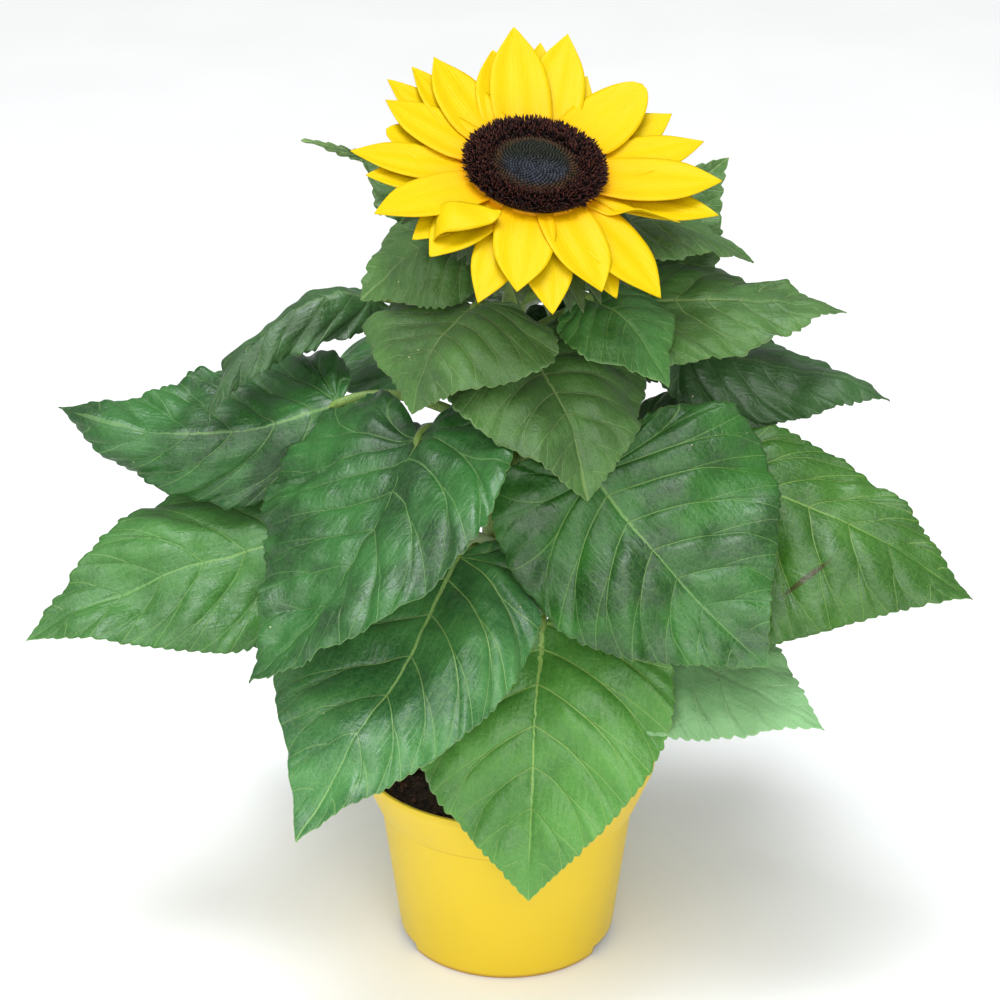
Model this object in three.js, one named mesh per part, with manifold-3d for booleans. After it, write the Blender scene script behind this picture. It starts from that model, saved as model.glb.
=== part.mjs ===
// A dwarf sunflower in a squat plastic pot, in millimetres, +Z up.
// The origin is the centre of the pot's flat underside. The flower faces up and towards -Y.
import * as THREE from 'three';
import { mergeVertices } from 'three/addons/utils/BufferGeometryUtils.js';
import Module from 'manifold-3d';

const wasm = await Module();
wasm.setup();

// Room between touching pieces
const CLEAR = 0.3;

// Pot: a tapering body, and a flared collar over it that ends in a plain upright rim.
const POT_HEIGHT = 88;
const RIM_RADIUS = 65;
const RIM_DEPTH = 3;
const RIM_ROUNDING = 0.6;
const COLLAR_FOOT_Z = 66;
const COLLAR_FOOT_RADIUS = 57;
const BODY_TOP_RADIUS = 55.6;
const FOOT_RADIUS = 47;
const FOOT_ROUNDING = [1, 1.5];
const WALL = 1.6;
const FLOOR = 2.4;
const POT_SEGMENTS = 40;
const DRAIN_BEARINGS = [55, 125, 195, 341];
const DRAIN_SIZE = [14, 28, 9];
const DRAIN_REACH = FOOT_RADIUS + 0.5;

// Soil: it fills the pot to a little below the rim.
const SOIL_TOP = 79;
const SOIL_CLEAR = 0.8;
const SOIL_CROWN_RADIUS = 34;
const SOIL_EDGE = [[0, -2], [-3, -0.4]];
const SOIL_SEGMENTS = 36;

// Stem: the points that its centre line bends between, and its radius at the soil and at the flower.
const STEM_FOOT = [0, 0, SOIL_TOP + CLEAR];
const STEM_BENDS = [[-13, 2, 185], [2.3, 11, 294]];
const STEM_RADIUS = [6.4, 4.6];
const STEM_FLARE = 2.4;
const STEM_FLARE_HEIGHT = 10;
const STEM_SUNK = 4;
const STEM_SIDES = 9;
const STEM_STEPS = 18;

// Flower: the middle of its disc, and how far its face leans to the front and turns to the right.
const FLOWER_CENTRE = [10.5, -14, 356.8];
const FLOWER_TILT = 23;
const FLOWER_TURN = 18;
const DISC_RADIUS = 27.5;
const DISC_EDGE = 3.6;
const DISC_CROWN = 6.5;
const DISC_SEGMENTS = 32;
const RING_DEPTH = 4;
const RING_INSET = [2, 1];
const RING_SEGMENTS = 28;

// Calyx: a dish under the petals, with a ring of pointed bracts.
const CALYX_DEPTH = 15;
const CALYX_RADIUS = 26;
const CALYX_NECK = STEM_RADIUS[1] + 0.6;
const CALYX_BELLY = 5;
const CALYX_SEGMENTS = 20;
const BRACTS = 14;
const BRACT_REACH = [16, 52];
const BRACT_HALF = 6;
const BRACT_ROOT = -11;
const BRACT_ARCH = 2;
const BRACT_DROOP = 15;
const BRACT_THICK = 1.2;
const BRACT_ROWS = 3;

// Petals: turn round the disc in degrees, reach from its centre, width, how far the tip stands above
// the disc's edge, and layer, 2 being the front one.
const PETALS = [
  { turn: 183, reach: 73, wide: 19, lift: 3, layer: 1 },
  { turn: 191, reach: 67, wide: 18, lift: 1, layer: 0 },
  { turn: 211, reach: 71, wide: 21, lift: 0, layer: 2 },
  { turn: 223, reach: 62, wide: 18, lift: -3, layer: 0 },
  { turn: 233, reach: 64, wide: 21, lift: -4, layer: 1 },
  { turn: 256, reach: 70, wide: 18, lift: -9, layer: 0 },
  { turn: 267, reach: 65, wide: 22, lift: -6, layer: 2 },
  { turn: 279, reach: 70, wide: 20, lift: -9, layer: 0 },
  { turn: 296, reach: 66, wide: 22, lift: -6, layer: 2 },
  { turn: 304, reach: 66, wide: 18, lift: -9, layer: 0 },
  { turn: 314, reach: 76, wide: 23, lift: -8, layer: 1 },
  { turn: 341, reach: 62, wide: 17, lift: 2, layer: 1 },
  { turn: 353, reach: 75, wide: 19, lift: 1, layer: 0 },
  { turn: 3, reach: 75, wide: 24, lift: 4, layer: 2 },
  { turn: 20, reach: 62, wide: 18, lift: 2, layer: 0 },
  { turn: 23, reach: 74, wide: 20, lift: 4, layer: 1 },
  { turn: 40, reach: 71, wide: 20, lift: 5, layer: 0 },
  { turn: 53, reach: 69, wide: 26, lift: 8, layer: 2 },
  { turn: 73, reach: 61, wide: 18, lift: 9, layer: 0 },
  { turn: 82, reach: 74, wide: 22, lift: 16, layer: 1 },
  { turn: 91, reach: 71, wide: 18, lift: 13, layer: 0 },
  { turn: 100, reach: 73, wide: 23, lift: 16, layer: 2 },
  { turn: 109, reach: 65, wide: 22, lift: 12, layer: 1 },
  { turn: 131, reach: 69, wide: 22, lift: 10, layer: 2 },
  { turn: 138, reach: 71, wide: 18, lift: 9, layer: 1 },
  { turn: 146, reach: 74, wide: 18, lift: 8, layer: 0 },
  { turn: 156, reach: 67, wide: 22, lift: 6, layer: 2 },
  { turn: 166, reach: 62, wide: 22, lift: 3, layer: 0 },
];
const PETAL_INNER = 19;
const PETAL_FREE = DISC_RADIUS + 6;
const PETAL_THICK = 1;
const PETAL_BASE = -3.4;
const PETAL_LAYER = 1.3;
const PETAL_ROWS = 4;

// Leaves. A place is [reach from the pot's axis, bearing in degrees anticlockwise from +X, height].
// root: height on the stem. base: where the petiole ends and the blade starts. tip: the blade's tip.
// half: widths of the left and right halves, as seen from above along the blade. bow and side: how far
// the midrib's middle stands above its chord and to its right. roll and twist: degrees that the blade
// leans to its right at its base, and turns more by its tip. fold: degrees that each half rises from
// the midrib. curl: degrees that each then bends down by its margin. lobe: how far the blade reaches
// behind its base, as a share of its length. A value that a row leaves out is in LEAF_HABIT.
const LEAF_HABIT = { side: 0, roll: 0, twist: 0, fold: [8, 8], curl: [35, 35], lobe: [0.11, 0.11] };
const LEAVES = [
  { name: 'leaf_front_low', root: 160, base: [39, 292, 168], tip: [84, 276, 62.5], half: [57, 58],
    bow: 10, fold: [14, 12], curl: [20, 35] },
  { name: 'leaf_front_left_low', root: 185, base: [50, 246, 203], tip: [166, 240, 128], half: [45, 68],
    bow: 6, side: -7, fold: [0, 8], curl: [35, 30] },
  { name: 'leaf_front_right_low', root: 150, base: [50, 334, 159], tip: [153, 327, 142], half: [35, 39],
    bow: 3, roll: 32, curl: [30, 30] },
  { name: 'leaf_left_low', root: 180, base: [83, 179, 188], tip: [204, 187, 154], half: [41, 43],
    bow: 8, roll: -42, twist: 10, fold: [4, 8], curl: [40, 30] },
  { name: 'leaf_right_low', root: 200, base: [84, 345, 228], tip: [196, 346, 184], half: [30, 63],
    bow: 8, roll: 48, twist: -10, fold: [8, 6], curl: [30, 35], lobe: [0.04, 0.11] },
  { name: 'leaf_front_left_high', root: 226, base: [49, 222, 249], tip: [141, 224, 172], half: [54, 68],
    bow: 6, side: -14, fold: [28, 6], curl: [45, 25], lobe: [0.16, 0.26] },
  { name: 'leaf_front_right_high', root: 215, base: [58, 307, 239], tip: [134, 321, 172], half: [69, 51],
    bow: -2, side: 2, roll: 44, lobe: [0.1, 0.24] },
  { name: 'leaf_left_high', root: 235, base: [72, 170, 247], tip: [193, 172, 240], half: [34, 45],
    bow: -8, side: -14, roll: -30, fold: [-35, 0], curl: [35, 20] },
  { name: 'leaf_right_high', root: 246, base: [78, 18, 268], tip: [162, 5, 249], half: [26, 28],
    bow: 1, roll: 10, fold: [5, -25], curl: [30, 35] },
  { name: 'leaf_right_under', root: 222, base: [56, 13, 233], tip: [130, 10, 237], half: [30, 28],
    bow: 8, roll: 10, fold: [5, -5] },
  { name: 'leaf_left_curled', root: 262, base: [68, 148, 286], tip: [125, 180, 244], half: [19, 27],
    bow: 18, roll: -20, fold: [-15, -30], curl: [60, 40], lobe: [0.14, 0.14] },
  { name: 'leaf_front_top', root: 270, base: [20, 292, 285], tip: [72, 297, 236], half: [48, 45],
    bow: 9, roll: -6, fold: [16, 10], lobe: [0.14, 0.14] },
  { name: 'leaf_front_left_top', root: 284, base: [22, 232, 301], tip: [62, 232, 267], half: [50, 48],
    bow: 9, fold: [12, 4], lobe: [0.08, 0.08] },
  { name: 'leaf_front_right_top', root: 296, base: [38, 330, 305], tip: [76, 329, 275], half: [27, 27],
    bow: 5, roll: 10, curl: [30, 30] },
  { name: 'leaf_left_top', root: 302, base: [17, 168, 320], tip: [62, 180, 299], half: [29, 28],
    bow: 4, roll: -28, fold: [14, 4], curl: [40, 30] },
  { name: 'leaf_right_top', root: 276, base: [50, 10, 295], tip: [140, 3, 289], half: [34, 36],
    bow: 2, roll: 28, twist: -14, fold: [-4, 10], curl: [30, 25] },
  { name: 'leaf_right_crown', root: 308, base: [52, 30, 321], tip: [105, 14, 304], half: [24, 24],
    bow: 7, roll: 8, curl: [30, 30] },
  { name: 'leaf_back_right_crown', root: 304, base: [84, 41, 294], tip: [110, 32, 340], half: [16, 27],
    bow: 6, roll: 50, curl: [30, 30] },
  { name: 'leaf_back_left_crown', root: 300, base: [72, 115, 321], tip: [109, 143, 346], half: [21, 15],
    bow: 3, roll: -50, fold: [14, 30], curl: [20, 40] },
  { name: 'leaf_back_left_low', root: 172, base: [52, 136, 190], tip: [170, 132, 112], half: [52, 52],
    bow: 14 },
  { name: 'leaf_back_low', root: 190, base: [50, 92, 206], tip: [176, 96, 152], half: [53, 53],
    bow: 14 },
  { name: 'leaf_back_right_low', root: 168, base: [54, 46, 184], tip: [174, 42, 124], half: [52, 52],
    bow: 14 },
  { name: 'leaf_back_left_high', root: 240, base: [52, 112, 258], tip: [156, 118, 214], half: [45, 45],
    bow: 12, fold: [-8, 8] },
  { name: 'leaf_back_right_high', root: 250, base: [52, 62, 266], tip: [152, 58, 226], half: [44, 44],
    bow: 12, fold: [8, -8] },
  { name: 'leaf_back_top', root: 262, base: [34, 88, 287], tip: [136, 88, 237], half: [38, 38],
    bow: 8, fold: [8, 22], curl: [30, 30] },
  { name: 'leaf_back_under', root: 140, base: [44, 88, 152], tip: [142, 80, 94], half: [46, 46],
    bow: 12 },
  { name: 'leaf_back_right_mid', root: 178, base: [54, 17, 200], tip: [152, 14, 170], half: [36, 38],
    bow: 10 },
  { name: 'leaf_back_left_mid', root: 205, base: [50, 148, 222], tip: [122, 146, 202], half: [27, 32],
    bow: 9 },
  { name: 'leaf_back_right_small', root: 216, base: [50, 42, 227], tip: [114, 40, 204], half: [26, 26],
    bow: 7 },
];
const LEAF_THICK = 1.4;
const LEAF_ROWS = 9;
const LEAF_COLUMNS = 2;

// Outline of a half blade of width 1 and length 1: two curves that meet at its widest place. The first
// one's inner points are behind the base by a multiple of the leaf's lobe.
const WIDEST = 0.27;
const MARGIN_SPLIT = 0.45;
const LOBE_OUT = [0, 0.3, 1, 1];
const LOBE_BACK = [-1.5, -1.1];
const SHOULDER_OUT = [1, 1, 0.35, 0];
const SHOULDER_ALONG = [WIDEST, WIDEST + 0.27, 0.78, 1];

// Side veins: the share of the rows that fan out from the base, how the others bunch towards it, and
// the place of a vein's own bend, out from the midrib and forward.
const FAN = 0.3;
const BUNCH = 1.25;
const VEIN_BEND = [0.55, 0.28];

// Petiole: its radius at the stem and at the blade, its run under the midrib, how steeply it leaves the
// stem, and how far its bend's handles reach.
const PETIOLE_RADIUS = [2.5, 1.9];
const PETIOLE_RUN = 0.05;
const PETIOLE_RISE = 0.6;
const PETIOLE_HANDLES = [0.4, 0.35];
const PETIOLE_SIDES = 4;
const PETIOLE_STEPS = 6;

const UP = new THREE.Vector3(0, 0, 1);

function place([reach, bearing, height]) {
  const turn = THREE.MathUtils.degToRad(bearing);
  return new THREE.Vector3(reach * Math.cos(turn), reach * Math.sin(turn), height);
}

// A closed mesh with its shared corners merged, as a solid.
function solidOf(geometry) {
  const bare = new THREE.BufferGeometry();
  bare.setAttribute('position', geometry.getAttribute('position').clone());
  if (geometry.index) bare.setIndex(geometry.index);
  const merged = mergeVertices(bare, 1e-4);
  const corners = merged.index.array;
  const kept = [];
  for (let i = 0; i < corners.length; i += 3) {
    const [a, b, c] = [corners[i], corners[i + 1], corners[i + 2]];
    if (a !== b && b !== c && c !== a) kept.push(a, b, c);
  }
  return new wasm.Manifold(new wasm.Mesh({
    numProp: 3,
    vertProperties: new Float32Array(merged.getAttribute('position').array),
    triVerts: new Uint32Array(kept),
  }));
}

function geometryOf(solid) {
  const mesh = solid.getMesh();
  const geometry = new THREE.BufferGeometry();
  const places = new Float32Array(mesh.numVert * 3);
  for (let i = 0; i < mesh.numVert; i += 1) {
    for (let k = 0; k < 3; k += 1) places[3 * i + k] = mesh.vertProperties[mesh.numProp * i + k];
  }
  geometry.setAttribute('position', new THREE.BufferAttribute(places, 3));
  geometry.setIndex([...mesh.triVerts]);
  geometry.computeVertexNormals();
  return geometry;
}

// A round limb along a curve. radiusAt gives its radius at a share of the way along.
function limb(curve, radiusAt, sides, steps) {
  const frames = curve.computeFrenetFrames(steps, false);
  const places = [];
  for (let i = 0; i <= steps; i += 1) {
    const centre = curve.getPointAt(i / steps);
    for (let k = 0; k < sides; k += 1) {
      const turn = (2 * Math.PI * k) / sides;
      const out = frames.normals[i].clone().multiplyScalar(Math.cos(turn))
        .addScaledVector(frames.binormals[i], Math.sin(turn));
      places.push(...centre.clone().addScaledVector(out, radiusAt(i / steps)).toArray());
    }
  }
  places.push(...curve.getPointAt(0).toArray(), ...curve.getPointAt(1).toArray());
  const first = (steps + 1) * sides;
  const faces = [];
  for (let k = 0; k < sides; k += 1) {
    const next = (k + 1) % sides;
    for (let i = 0; i < steps; i += 1) {
      const [a, b] = [i * sides + k, i * sides + next];
      const [c, d] = [a + sides, b + sides];
      faces.push(a, b, d, a, d, c);
    }
    faces.push(first, next, k, first + 1, steps * sides + k, steps * sides + next);
  }
  const geometry = new THREE.BufferGeometry();
  geometry.setAttribute('position', new THREE.Float32BufferAttribute(places, 3));
  geometry.setIndex(faces);
  return geometry;
}

// A thin closed sheet between two skins. points[c][r] are its middle and lifts[c][r] its directions
// out of the top skin. All columns meet in one point in the first row and in one in the last.
function sheet(points, lifts, thick) {
  const columns = points.length;
  const rows = points[0].length - 1;
  const places = [];
  const number = [[], []];
  for (let skin = 0; skin < 2; skin += 1) {
    const height = (skin === 0 ? 0.5 : -0.5) * thick;
    for (let c = 0; c < columns; c += 1) {
      number[skin][c] = [];
      for (let r = 0; r <= rows; r += 1) {
        const shared = (r === 0 || r === rows) && c > 0;
        number[skin][c][r] = shared ? number[skin][0][r] : places.length / 3;
        if (!shared) {
          const middle = Math.floor(columns / 2);
          const lift = r === 0 || r === rows ? lifts[middle][r] : lifts[c][r];
          places.push(...points[c][r].clone().addScaledVector(lift, height).toArray());
        }
      }
    }
  }
  const faces = [];
  const face = (a, b, c) => {
    if (a !== b && b !== c && c !== a) faces.push(a, b, c);
  };
  const [top, under] = number;
  for (let c = 0; c < columns - 1; c += 1) {
    for (let r = 0; r < rows; r += 1) {
      face(top[c][r], top[c + 1][r], top[c + 1][r + 1]);
      face(top[c][r], top[c + 1][r + 1], top[c][r + 1]);
      face(under[c][r], under[c + 1][r + 1], under[c + 1][r]);
      face(under[c][r], under[c][r + 1], under[c + 1][r + 1]);
    }
  }
  const last = columns - 1;
  for (let r = 0; r < rows; r += 1) {
    face(top[last][r], under[last][r], under[last][r + 1]);
    face(top[last][r], under[last][r + 1], top[last][r + 1]);
    face(top[0][r], under[0][r + 1], under[0][r]);
    face(top[0][r], top[0][r + 1], under[0][r + 1]);
  }
  const geometry = new THREE.BufferGeometry();
  geometry.setAttribute('position', new THREE.Float32BufferAttribute(places, 3));
  geometry.setIndex(faces);
  return geometry;
}

// The flower's own axes: right, back and out of its face.
function flowerAxes() {
  const tilt = THREE.MathUtils.degToRad(FLOWER_TILT);
  const turn = THREE.MathUtils.degToRad(FLOWER_TURN);
  const out = new THREE.Vector3(
    Math.sin(turn) * Math.sin(tilt), -Math.cos(turn) * Math.sin(tilt), Math.cos(tilt));
  const right = new THREE.Vector3(0, 1, 0).cross(out).normalize();
  return { right, back: out.clone().cross(right), out };
}

const FLOWER = flowerAxes();
const FLOWER_BASIS = new THREE.Matrix4().makeBasis(FLOWER.right, FLOWER.back, FLOWER.out)
  .setPosition(...FLOWER_CENTRE);

function stemCurve() {
  const top = new THREE.Vector3(...FLOWER_CENTRE)
    .addScaledVector(FLOWER.out, -(RING_DEPTH + CALYX_DEPTH + 3 * CLEAR));
  return new THREE.CubicBezierCurve3(
    new THREE.Vector3(...STEM_FOOT).addScaledVector(UP, -STEM_SUNK),
    new THREE.Vector3(...STEM_BENDS[0]),
    new THREE.Vector3(...STEM_BENDS[1]),
    top);
}

const STEM = stemCurve();

function stemCentre(height) {
  let [low, high] = [0, 1];
  for (let i = 0; i < 30; i += 1) {
    const middle = (low + high) / 2;
    if (STEM.getPoint(middle).z < height) low = middle;
    else high = middle;
  }
  return STEM.getPoint(low);
}

function stemSolid(extra) {
  const length = STEM.getLength();
  const radiusAt = (share) => {
    const flare = Math.max(0, 1 - (share * length - STEM_SUNK) / STEM_FLARE_HEIGHT);
    return THREE.MathUtils.lerp(STEM_RADIUS[0], STEM_RADIUS[1], share)
      + STEM_FLARE * flare * flare + extra;
  };
  const whole = solidOf(limb(STEM, radiusAt, STEM_SIDES, STEM_STEPS));
  const below = new THREE.BoxGeometry(RIM_RADIUS, RIM_RADIUS, 2 * STEM_SUNK);
  below.translate(0, 0, STEM_FOOT[2] - STEM_SUNK);
  return whole.subtract(solidOf(below));
}

function bezier(points, t) {
  const s = 1 - t;
  return points[0] * s ** 3 + points[1] * 3 * t * s * s + points[2] * 3 * t * t * s + points[3] * t ** 3;
}

// The margin of a half blade of width 1 and length 1, from its base at q = 0 to its tip at q = 1.
function margin(q, lobe) {
  if (q < MARGIN_SPLIT) {
    const t = q / MARGIN_SPLIT;
    const along = [0, LOBE_BACK[0] * lobe, LOBE_BACK[1] * lobe, WIDEST];
    return [bezier(LOBE_OUT, t), bezier(along, t)];
  }
  const t = (q - MARGIN_SPLIT) / (1 - MARGIN_SPLIT);
  return [bezier(SHOULDER_OUT, t), bezier(SHOULDER_ALONG, t)];
}

// The midrib as a curve, with the direction to its right.
function midrib(leaf) {
  const base = place(leaf.base);
  const tip = place(leaf.tip);
  const along = tip.clone().sub(base).normalize();
  const right = along.clone().cross(UP).normalize();
  const rise = right.clone().cross(along);
  const middle = base.clone().add(tip).multiplyScalar(0.5)
    .addScaledVector(rise, 2 * leaf.bow).addScaledVector(right, 2 * leaf.side);
  return { curve: new THREE.QuadraticBezierCurve3(base, middle, tip), right };
}

// A point of the blade, x to the right of the midrib and y along it, and the way out of its top skin.
function bladePoint(leaf, rib, length, x, y) {
  const share = THREE.MathUtils.clamp(y / length, 0, 1);
  const tangent = rib.curve.getTangentAt(share);
  const spine = rib.curve.getPointAt(share).addScaledVector(tangent, y - share * length);
  const flatRight = rib.right.clone().addScaledVector(tangent, -tangent.dot(rib.right)).normalize();
  const flatUp = flatRight.clone().cross(tangent);
  const roll = THREE.MathUtils.degToRad(leaf.roll + leaf.twist * share);
  const right = flatRight.clone().multiplyScalar(Math.cos(roll)).addScaledVector(flatUp, -Math.sin(roll));
  const up = flatUp.multiplyScalar(Math.cos(roll)).addScaledVector(flatRight, Math.sin(roll));
  const hand = x > 0 ? 1 : 0;
  const sign = Math.sign(x);
  const fold = THREE.MathUtils.degToRad(leaf.fold[hand]);
  const bend = THREE.MathUtils.degToRad(leaf.curl[hand]) / leaf.half[hand];
  const far = Math.abs(x);
  const slope = fold - bend * far;
  const across = (Math.sin(fold) - Math.sin(slope)) / bend;
  const rise = (Math.cos(slope) - Math.cos(fold)) / bend;
  const point = spine.addScaledVector(right, sign * across).addScaledVector(up, rise);
  const lift = up.multiplyScalar(Math.cos(slope)).addScaledVector(right, -sign * Math.sin(slope));
  return { point, lift };
}

// The blade's rows start down the midrib and arch forward to the margin, as its side veins do.
function blade(leaf) {
  const rib = midrib(leaf);
  const length = rib.curve.getLength();
  const points = [];
  const lifts = [];
  for (let c = -LEAF_COLUMNS; c <= LEAF_COLUMNS; c += 1) {
    const t = Math.abs(c) / LEAF_COLUMNS;
    const hand = c > 0 ? 1 : 0;
    const column = [];
    const raised = [];
    for (let r = 0; r <= LEAF_ROWS; r += 1) {
      const q = r / LEAF_ROWS;
      const [ex, ey] = margin(q, leaf.lobe[hand]);
      const start = Math.max(0, (q - FAN) / (1 - FAN)) ** BUNCH;
      const bend = start + VEIN_BEND[1] * (ey - start);
      const x = (2 * t * (1 - t) * VEIN_BEND[0] + t * t) * ex * leaf.half[hand];
      const y = ((1 - t) ** 2 * start + 2 * t * (1 - t) * bend + t * t * ey) * length;
      const { point, lift } = bladePoint(leaf, rib, length, Math.sign(c) * x, y);
      column.push(point);
      raised.push(lift);
    }
    points.push(column);
    lifts.push(raised);
  }
  return sheet(points, lifts, LEAF_THICK);
}

// The petiole leaves the stem upwards and outwards, bends over, and runs on under the midrib.
function petiole(leaf) {
  const { curve } = midrib(leaf);
  const root = stemCentre(leaf.root);
  const base = curve.getPoint(0);
  const into = curve.getPointAt(PETIOLE_RUN);
  const out = base.clone().sub(root).setZ(0).normalize().addScaledVector(UP, PETIOLE_RISE).normalize();
  const reach = base.distanceTo(root);
  const path = new THREE.CurvePath();
  path.add(new THREE.CubicBezierCurve3(
    root,
    root.clone().addScaledVector(out, PETIOLE_HANDLES[0] * reach),
    base.clone().addScaledVector(curve.getTangent(0), -PETIOLE_HANDLES[1] * reach),
    base));
  path.add(new THREE.LineCurve3(base, into));
  const radiusAt = (share) => THREE.MathUtils.lerp(PETIOLE_RADIUS[0], PETIOLE_RADIUS[1], share);
  return limb(path, radiusAt, PETIOLE_SIDES, PETIOLE_STEPS);
}

function leafSolid(leaf, around) {
  return solidOf(blade(leaf)).add(solidOf(petiole(leaf))).subtract(around);
}

// A pointed blade in the flower's own axes, along a line out of its centre. profileAt gives its half
// width and its height at a share of the way out.
function ray(turn, inner, reach, rows, thick, profileAt) {
  const [cos, sin] = [Math.cos(turn), Math.sin(turn)];
  const points = [[], []];
  const lifts = [[], []];
  for (let r = 0; r <= rows; r += 1) {
    const out = THREE.MathUtils.lerp(inner, reach, r / rows);
    const [half, height] = profileAt(r / rows, out);
    for (let c = 0; c < 2; c += 1) {
      const side = (2 * c - 1) * half;
      points[c].push(new THREE.Vector3(out * cos + side * sin, out * sin - side * cos, height)
        .applyMatrix4(FLOWER_BASIS));
      lifts[c].push(FLOWER.out);
    }
  }
  return solidOf(sheet(points, lifts, thick));
}

// A petal is flat under the disc, then rises or droops to its tip.
function petal({ turn, reach, wide, lift, layer }) {
  const profileAt = (t, out) => {
    const half = t === 0 ? 0 : (wide / 2) * Math.sin(Math.PI * (0.12 + 0.88 * t)) ** 0.6;
    const free = Math.max(0, (out - PETAL_FREE) / (reach - PETAL_FREE));
    return [half, PETAL_BASE + layer * PETAL_LAYER + lift * free ** 1.3];
  };
  return ray(THREE.MathUtils.degToRad(turn), PETAL_INNER, reach, PETAL_ROWS, PETAL_THICK, profileAt);
}

function bract(index) {
  const turn = (2 * Math.PI * (index + 0.5)) / BRACTS;
  const profileAt = (t) => {
    const half = t === 0 ? 0 : BRACT_HALF * Math.sin(Math.PI * (0.25 + 0.75 * t)) ** 0.8;
    return [half, BRACT_ROOT + BRACT_ARCH * Math.sin(Math.PI * t) - BRACT_DROOP * t * t];
  };
  return ray(turn, BRACT_REACH[0], BRACT_REACH[1], BRACT_ROWS, BRACT_THICK, profileAt);
}

// A turned solid, standing on the flower's axis or on the pot's.
function turned(profile, segments, matrix) {
  const geometry = new THREE.LatheGeometry(profile.map(([r, z]) => new THREE.Vector2(r, z)), segments);
  geometry.rotateX(Math.PI / 2);
  if (matrix) geometry.applyMatrix4(matrix);
  return solidOf(geometry);
}

function rayPetals() {
  const ring = turned([
    [0, -RING_DEPTH], [DISC_RADIUS - RING_INSET[0], -RING_DEPTH],
    [DISC_RADIUS - RING_INSET[1], -CLEAR], [0, -CLEAR],
  ], RING_SEGMENTS, FLOWER_BASIS);
  return PETALS.reduce((whole, row) => whole.add(petal(row)), ring);
}

// The disc's edge overhangs the petals. It has a raised ring of open florets and a domed middle.
function flowerDisc() {
  return turned([
    [0, 0], [DISC_RADIUS - RING_INSET[1], 0], [DISC_RADIUS, DISC_EDGE],
    [0.72 * DISC_RADIUS, DISC_EDGE + 1], [0.6 * DISC_RADIUS, DISC_EDGE],
    [0.35 * DISC_RADIUS, 0.9 * DISC_CROWN], [0, DISC_CROWN],
  ], DISC_SEGMENTS, FLOWER_BASIS);
}

function calyx() {
  const top = -RING_DEPTH - CLEAR;
  const bottom = top - CALYX_DEPTH;
  const dish = turned([
    [0, bottom], [CALYX_NECK, bottom], [CALYX_NECK + CALYX_BELLY / 2, bottom + CALYX_BELLY],
    [CALYX_RADIUS - CALYX_BELLY, top - CALYX_BELLY], [CALYX_RADIUS, top], [0, top],
  ], CALYX_SEGMENTS, FLOWER_BASIS);
  let whole = dish;
  for (let i = 0; i < BRACTS; i += 1) whole = whole.add(bract(i));
  return whole;
}

function pot() {
  const rimFoot = POT_HEIGHT - RIM_DEPTH;
  const shell = turned([
    [0, 0], [FOOT_RADIUS - FOOT_ROUNDING[0], 0], [FOOT_RADIUS, FOOT_ROUNDING[1]],
    [BODY_TOP_RADIUS, COLLAR_FOOT_Z], [COLLAR_FOOT_RADIUS, COLLAR_FOOT_Z],
    [RIM_RADIUS - RIM_ROUNDING, rimFoot - 1], [RIM_RADIUS, rimFoot],
    [RIM_RADIUS, POT_HEIGHT - RIM_ROUNDING], [RIM_RADIUS - RIM_ROUNDING, POT_HEIGHT],
    [RIM_RADIUS - WALL, POT_HEIGHT], [RIM_RADIUS - WALL - 1, rimFoot - 1],
    [COLLAR_FOOT_RADIUS - WALL, COLLAR_FOOT_Z], [BODY_TOP_RADIUS - WALL, COLLAR_FOOT_Z - 2 * WALL],
    [FOOT_RADIUS - WALL, FLOOR], [0, FLOOR],
  ], POT_SEGMENTS);
  return DRAIN_BEARINGS.reduce((whole, bearing) => {
    const slot = new THREE.BoxGeometry(...DRAIN_SIZE);
    slot.translate(DRAIN_REACH, 0, 0);
    slot.rotateZ(THREE.MathUtils.degToRad(bearing));
    return whole.subtract(solidOf(slot));
  }, shell);
}

// The soil's side keeps clear of the pot's wall, in its body and in its collar.
function soil() {
  const share = (SOIL_TOP - COLLAR_FOOT_Z) / (POT_HEIGHT - RIM_DEPTH - COLLAR_FOOT_Z);
  const collar = THREE.MathUtils.lerp(COLLAR_FOOT_RADIUS, RIM_RADIUS - 1, share);
  const brim = collar - WALL - 2 * SOIL_CLEAR;
  const foot = FLOOR + CLEAR;
  const shoulder = COLLAR_FOOT_Z - 3 * WALL;
  const inside = (z) => THREE.MathUtils.lerp(FOOT_RADIUS, BODY_TOP_RADIUS, z / COLLAR_FOOT_Z)
    - WALL - SOIL_CLEAR;
  return turned([
    [0, foot], [inside(foot), foot], [inside(shoulder), shoulder],
    [COLLAR_FOOT_RADIUS - WALL - SOIL_CLEAR, COLLAR_FOOT_Z + 1],
    ...SOIL_EDGE.map(([r, z]) => [brim + r, SOIL_TOP + z]), [SOIL_CROWN_RADIUS, SOIL_TOP], [0, SOIL_TOP],
  ], SOIL_SEGMENTS);
}

const MATERIALS = {
  pot: { color: 0xf0cf3c, roughness: 0.4 },
  soil: { color: 0x2e201a, roughness: 0.95 },
  stem: { color: 0x7f9a3e, roughness: 0.6 },
  leaf: { color: 0x3f7d3b, roughness: 0.45 },
  petal: { color: 0xffe01e, roughness: 0.55 },
  disc: { color: 0x35201f, roughness: 0.9 },
};

const plant = new THREE.Group();
plant.name = 'potted_sunflower';

function add(name, solid, material) {
  const mesh = new THREE.Mesh(
    geometryOf(solid), new THREE.MeshStandardMaterial({ ...MATERIALS[material], metalness: 0 }));
  mesh.name = name;
  plant.add(mesh);
}

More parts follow.
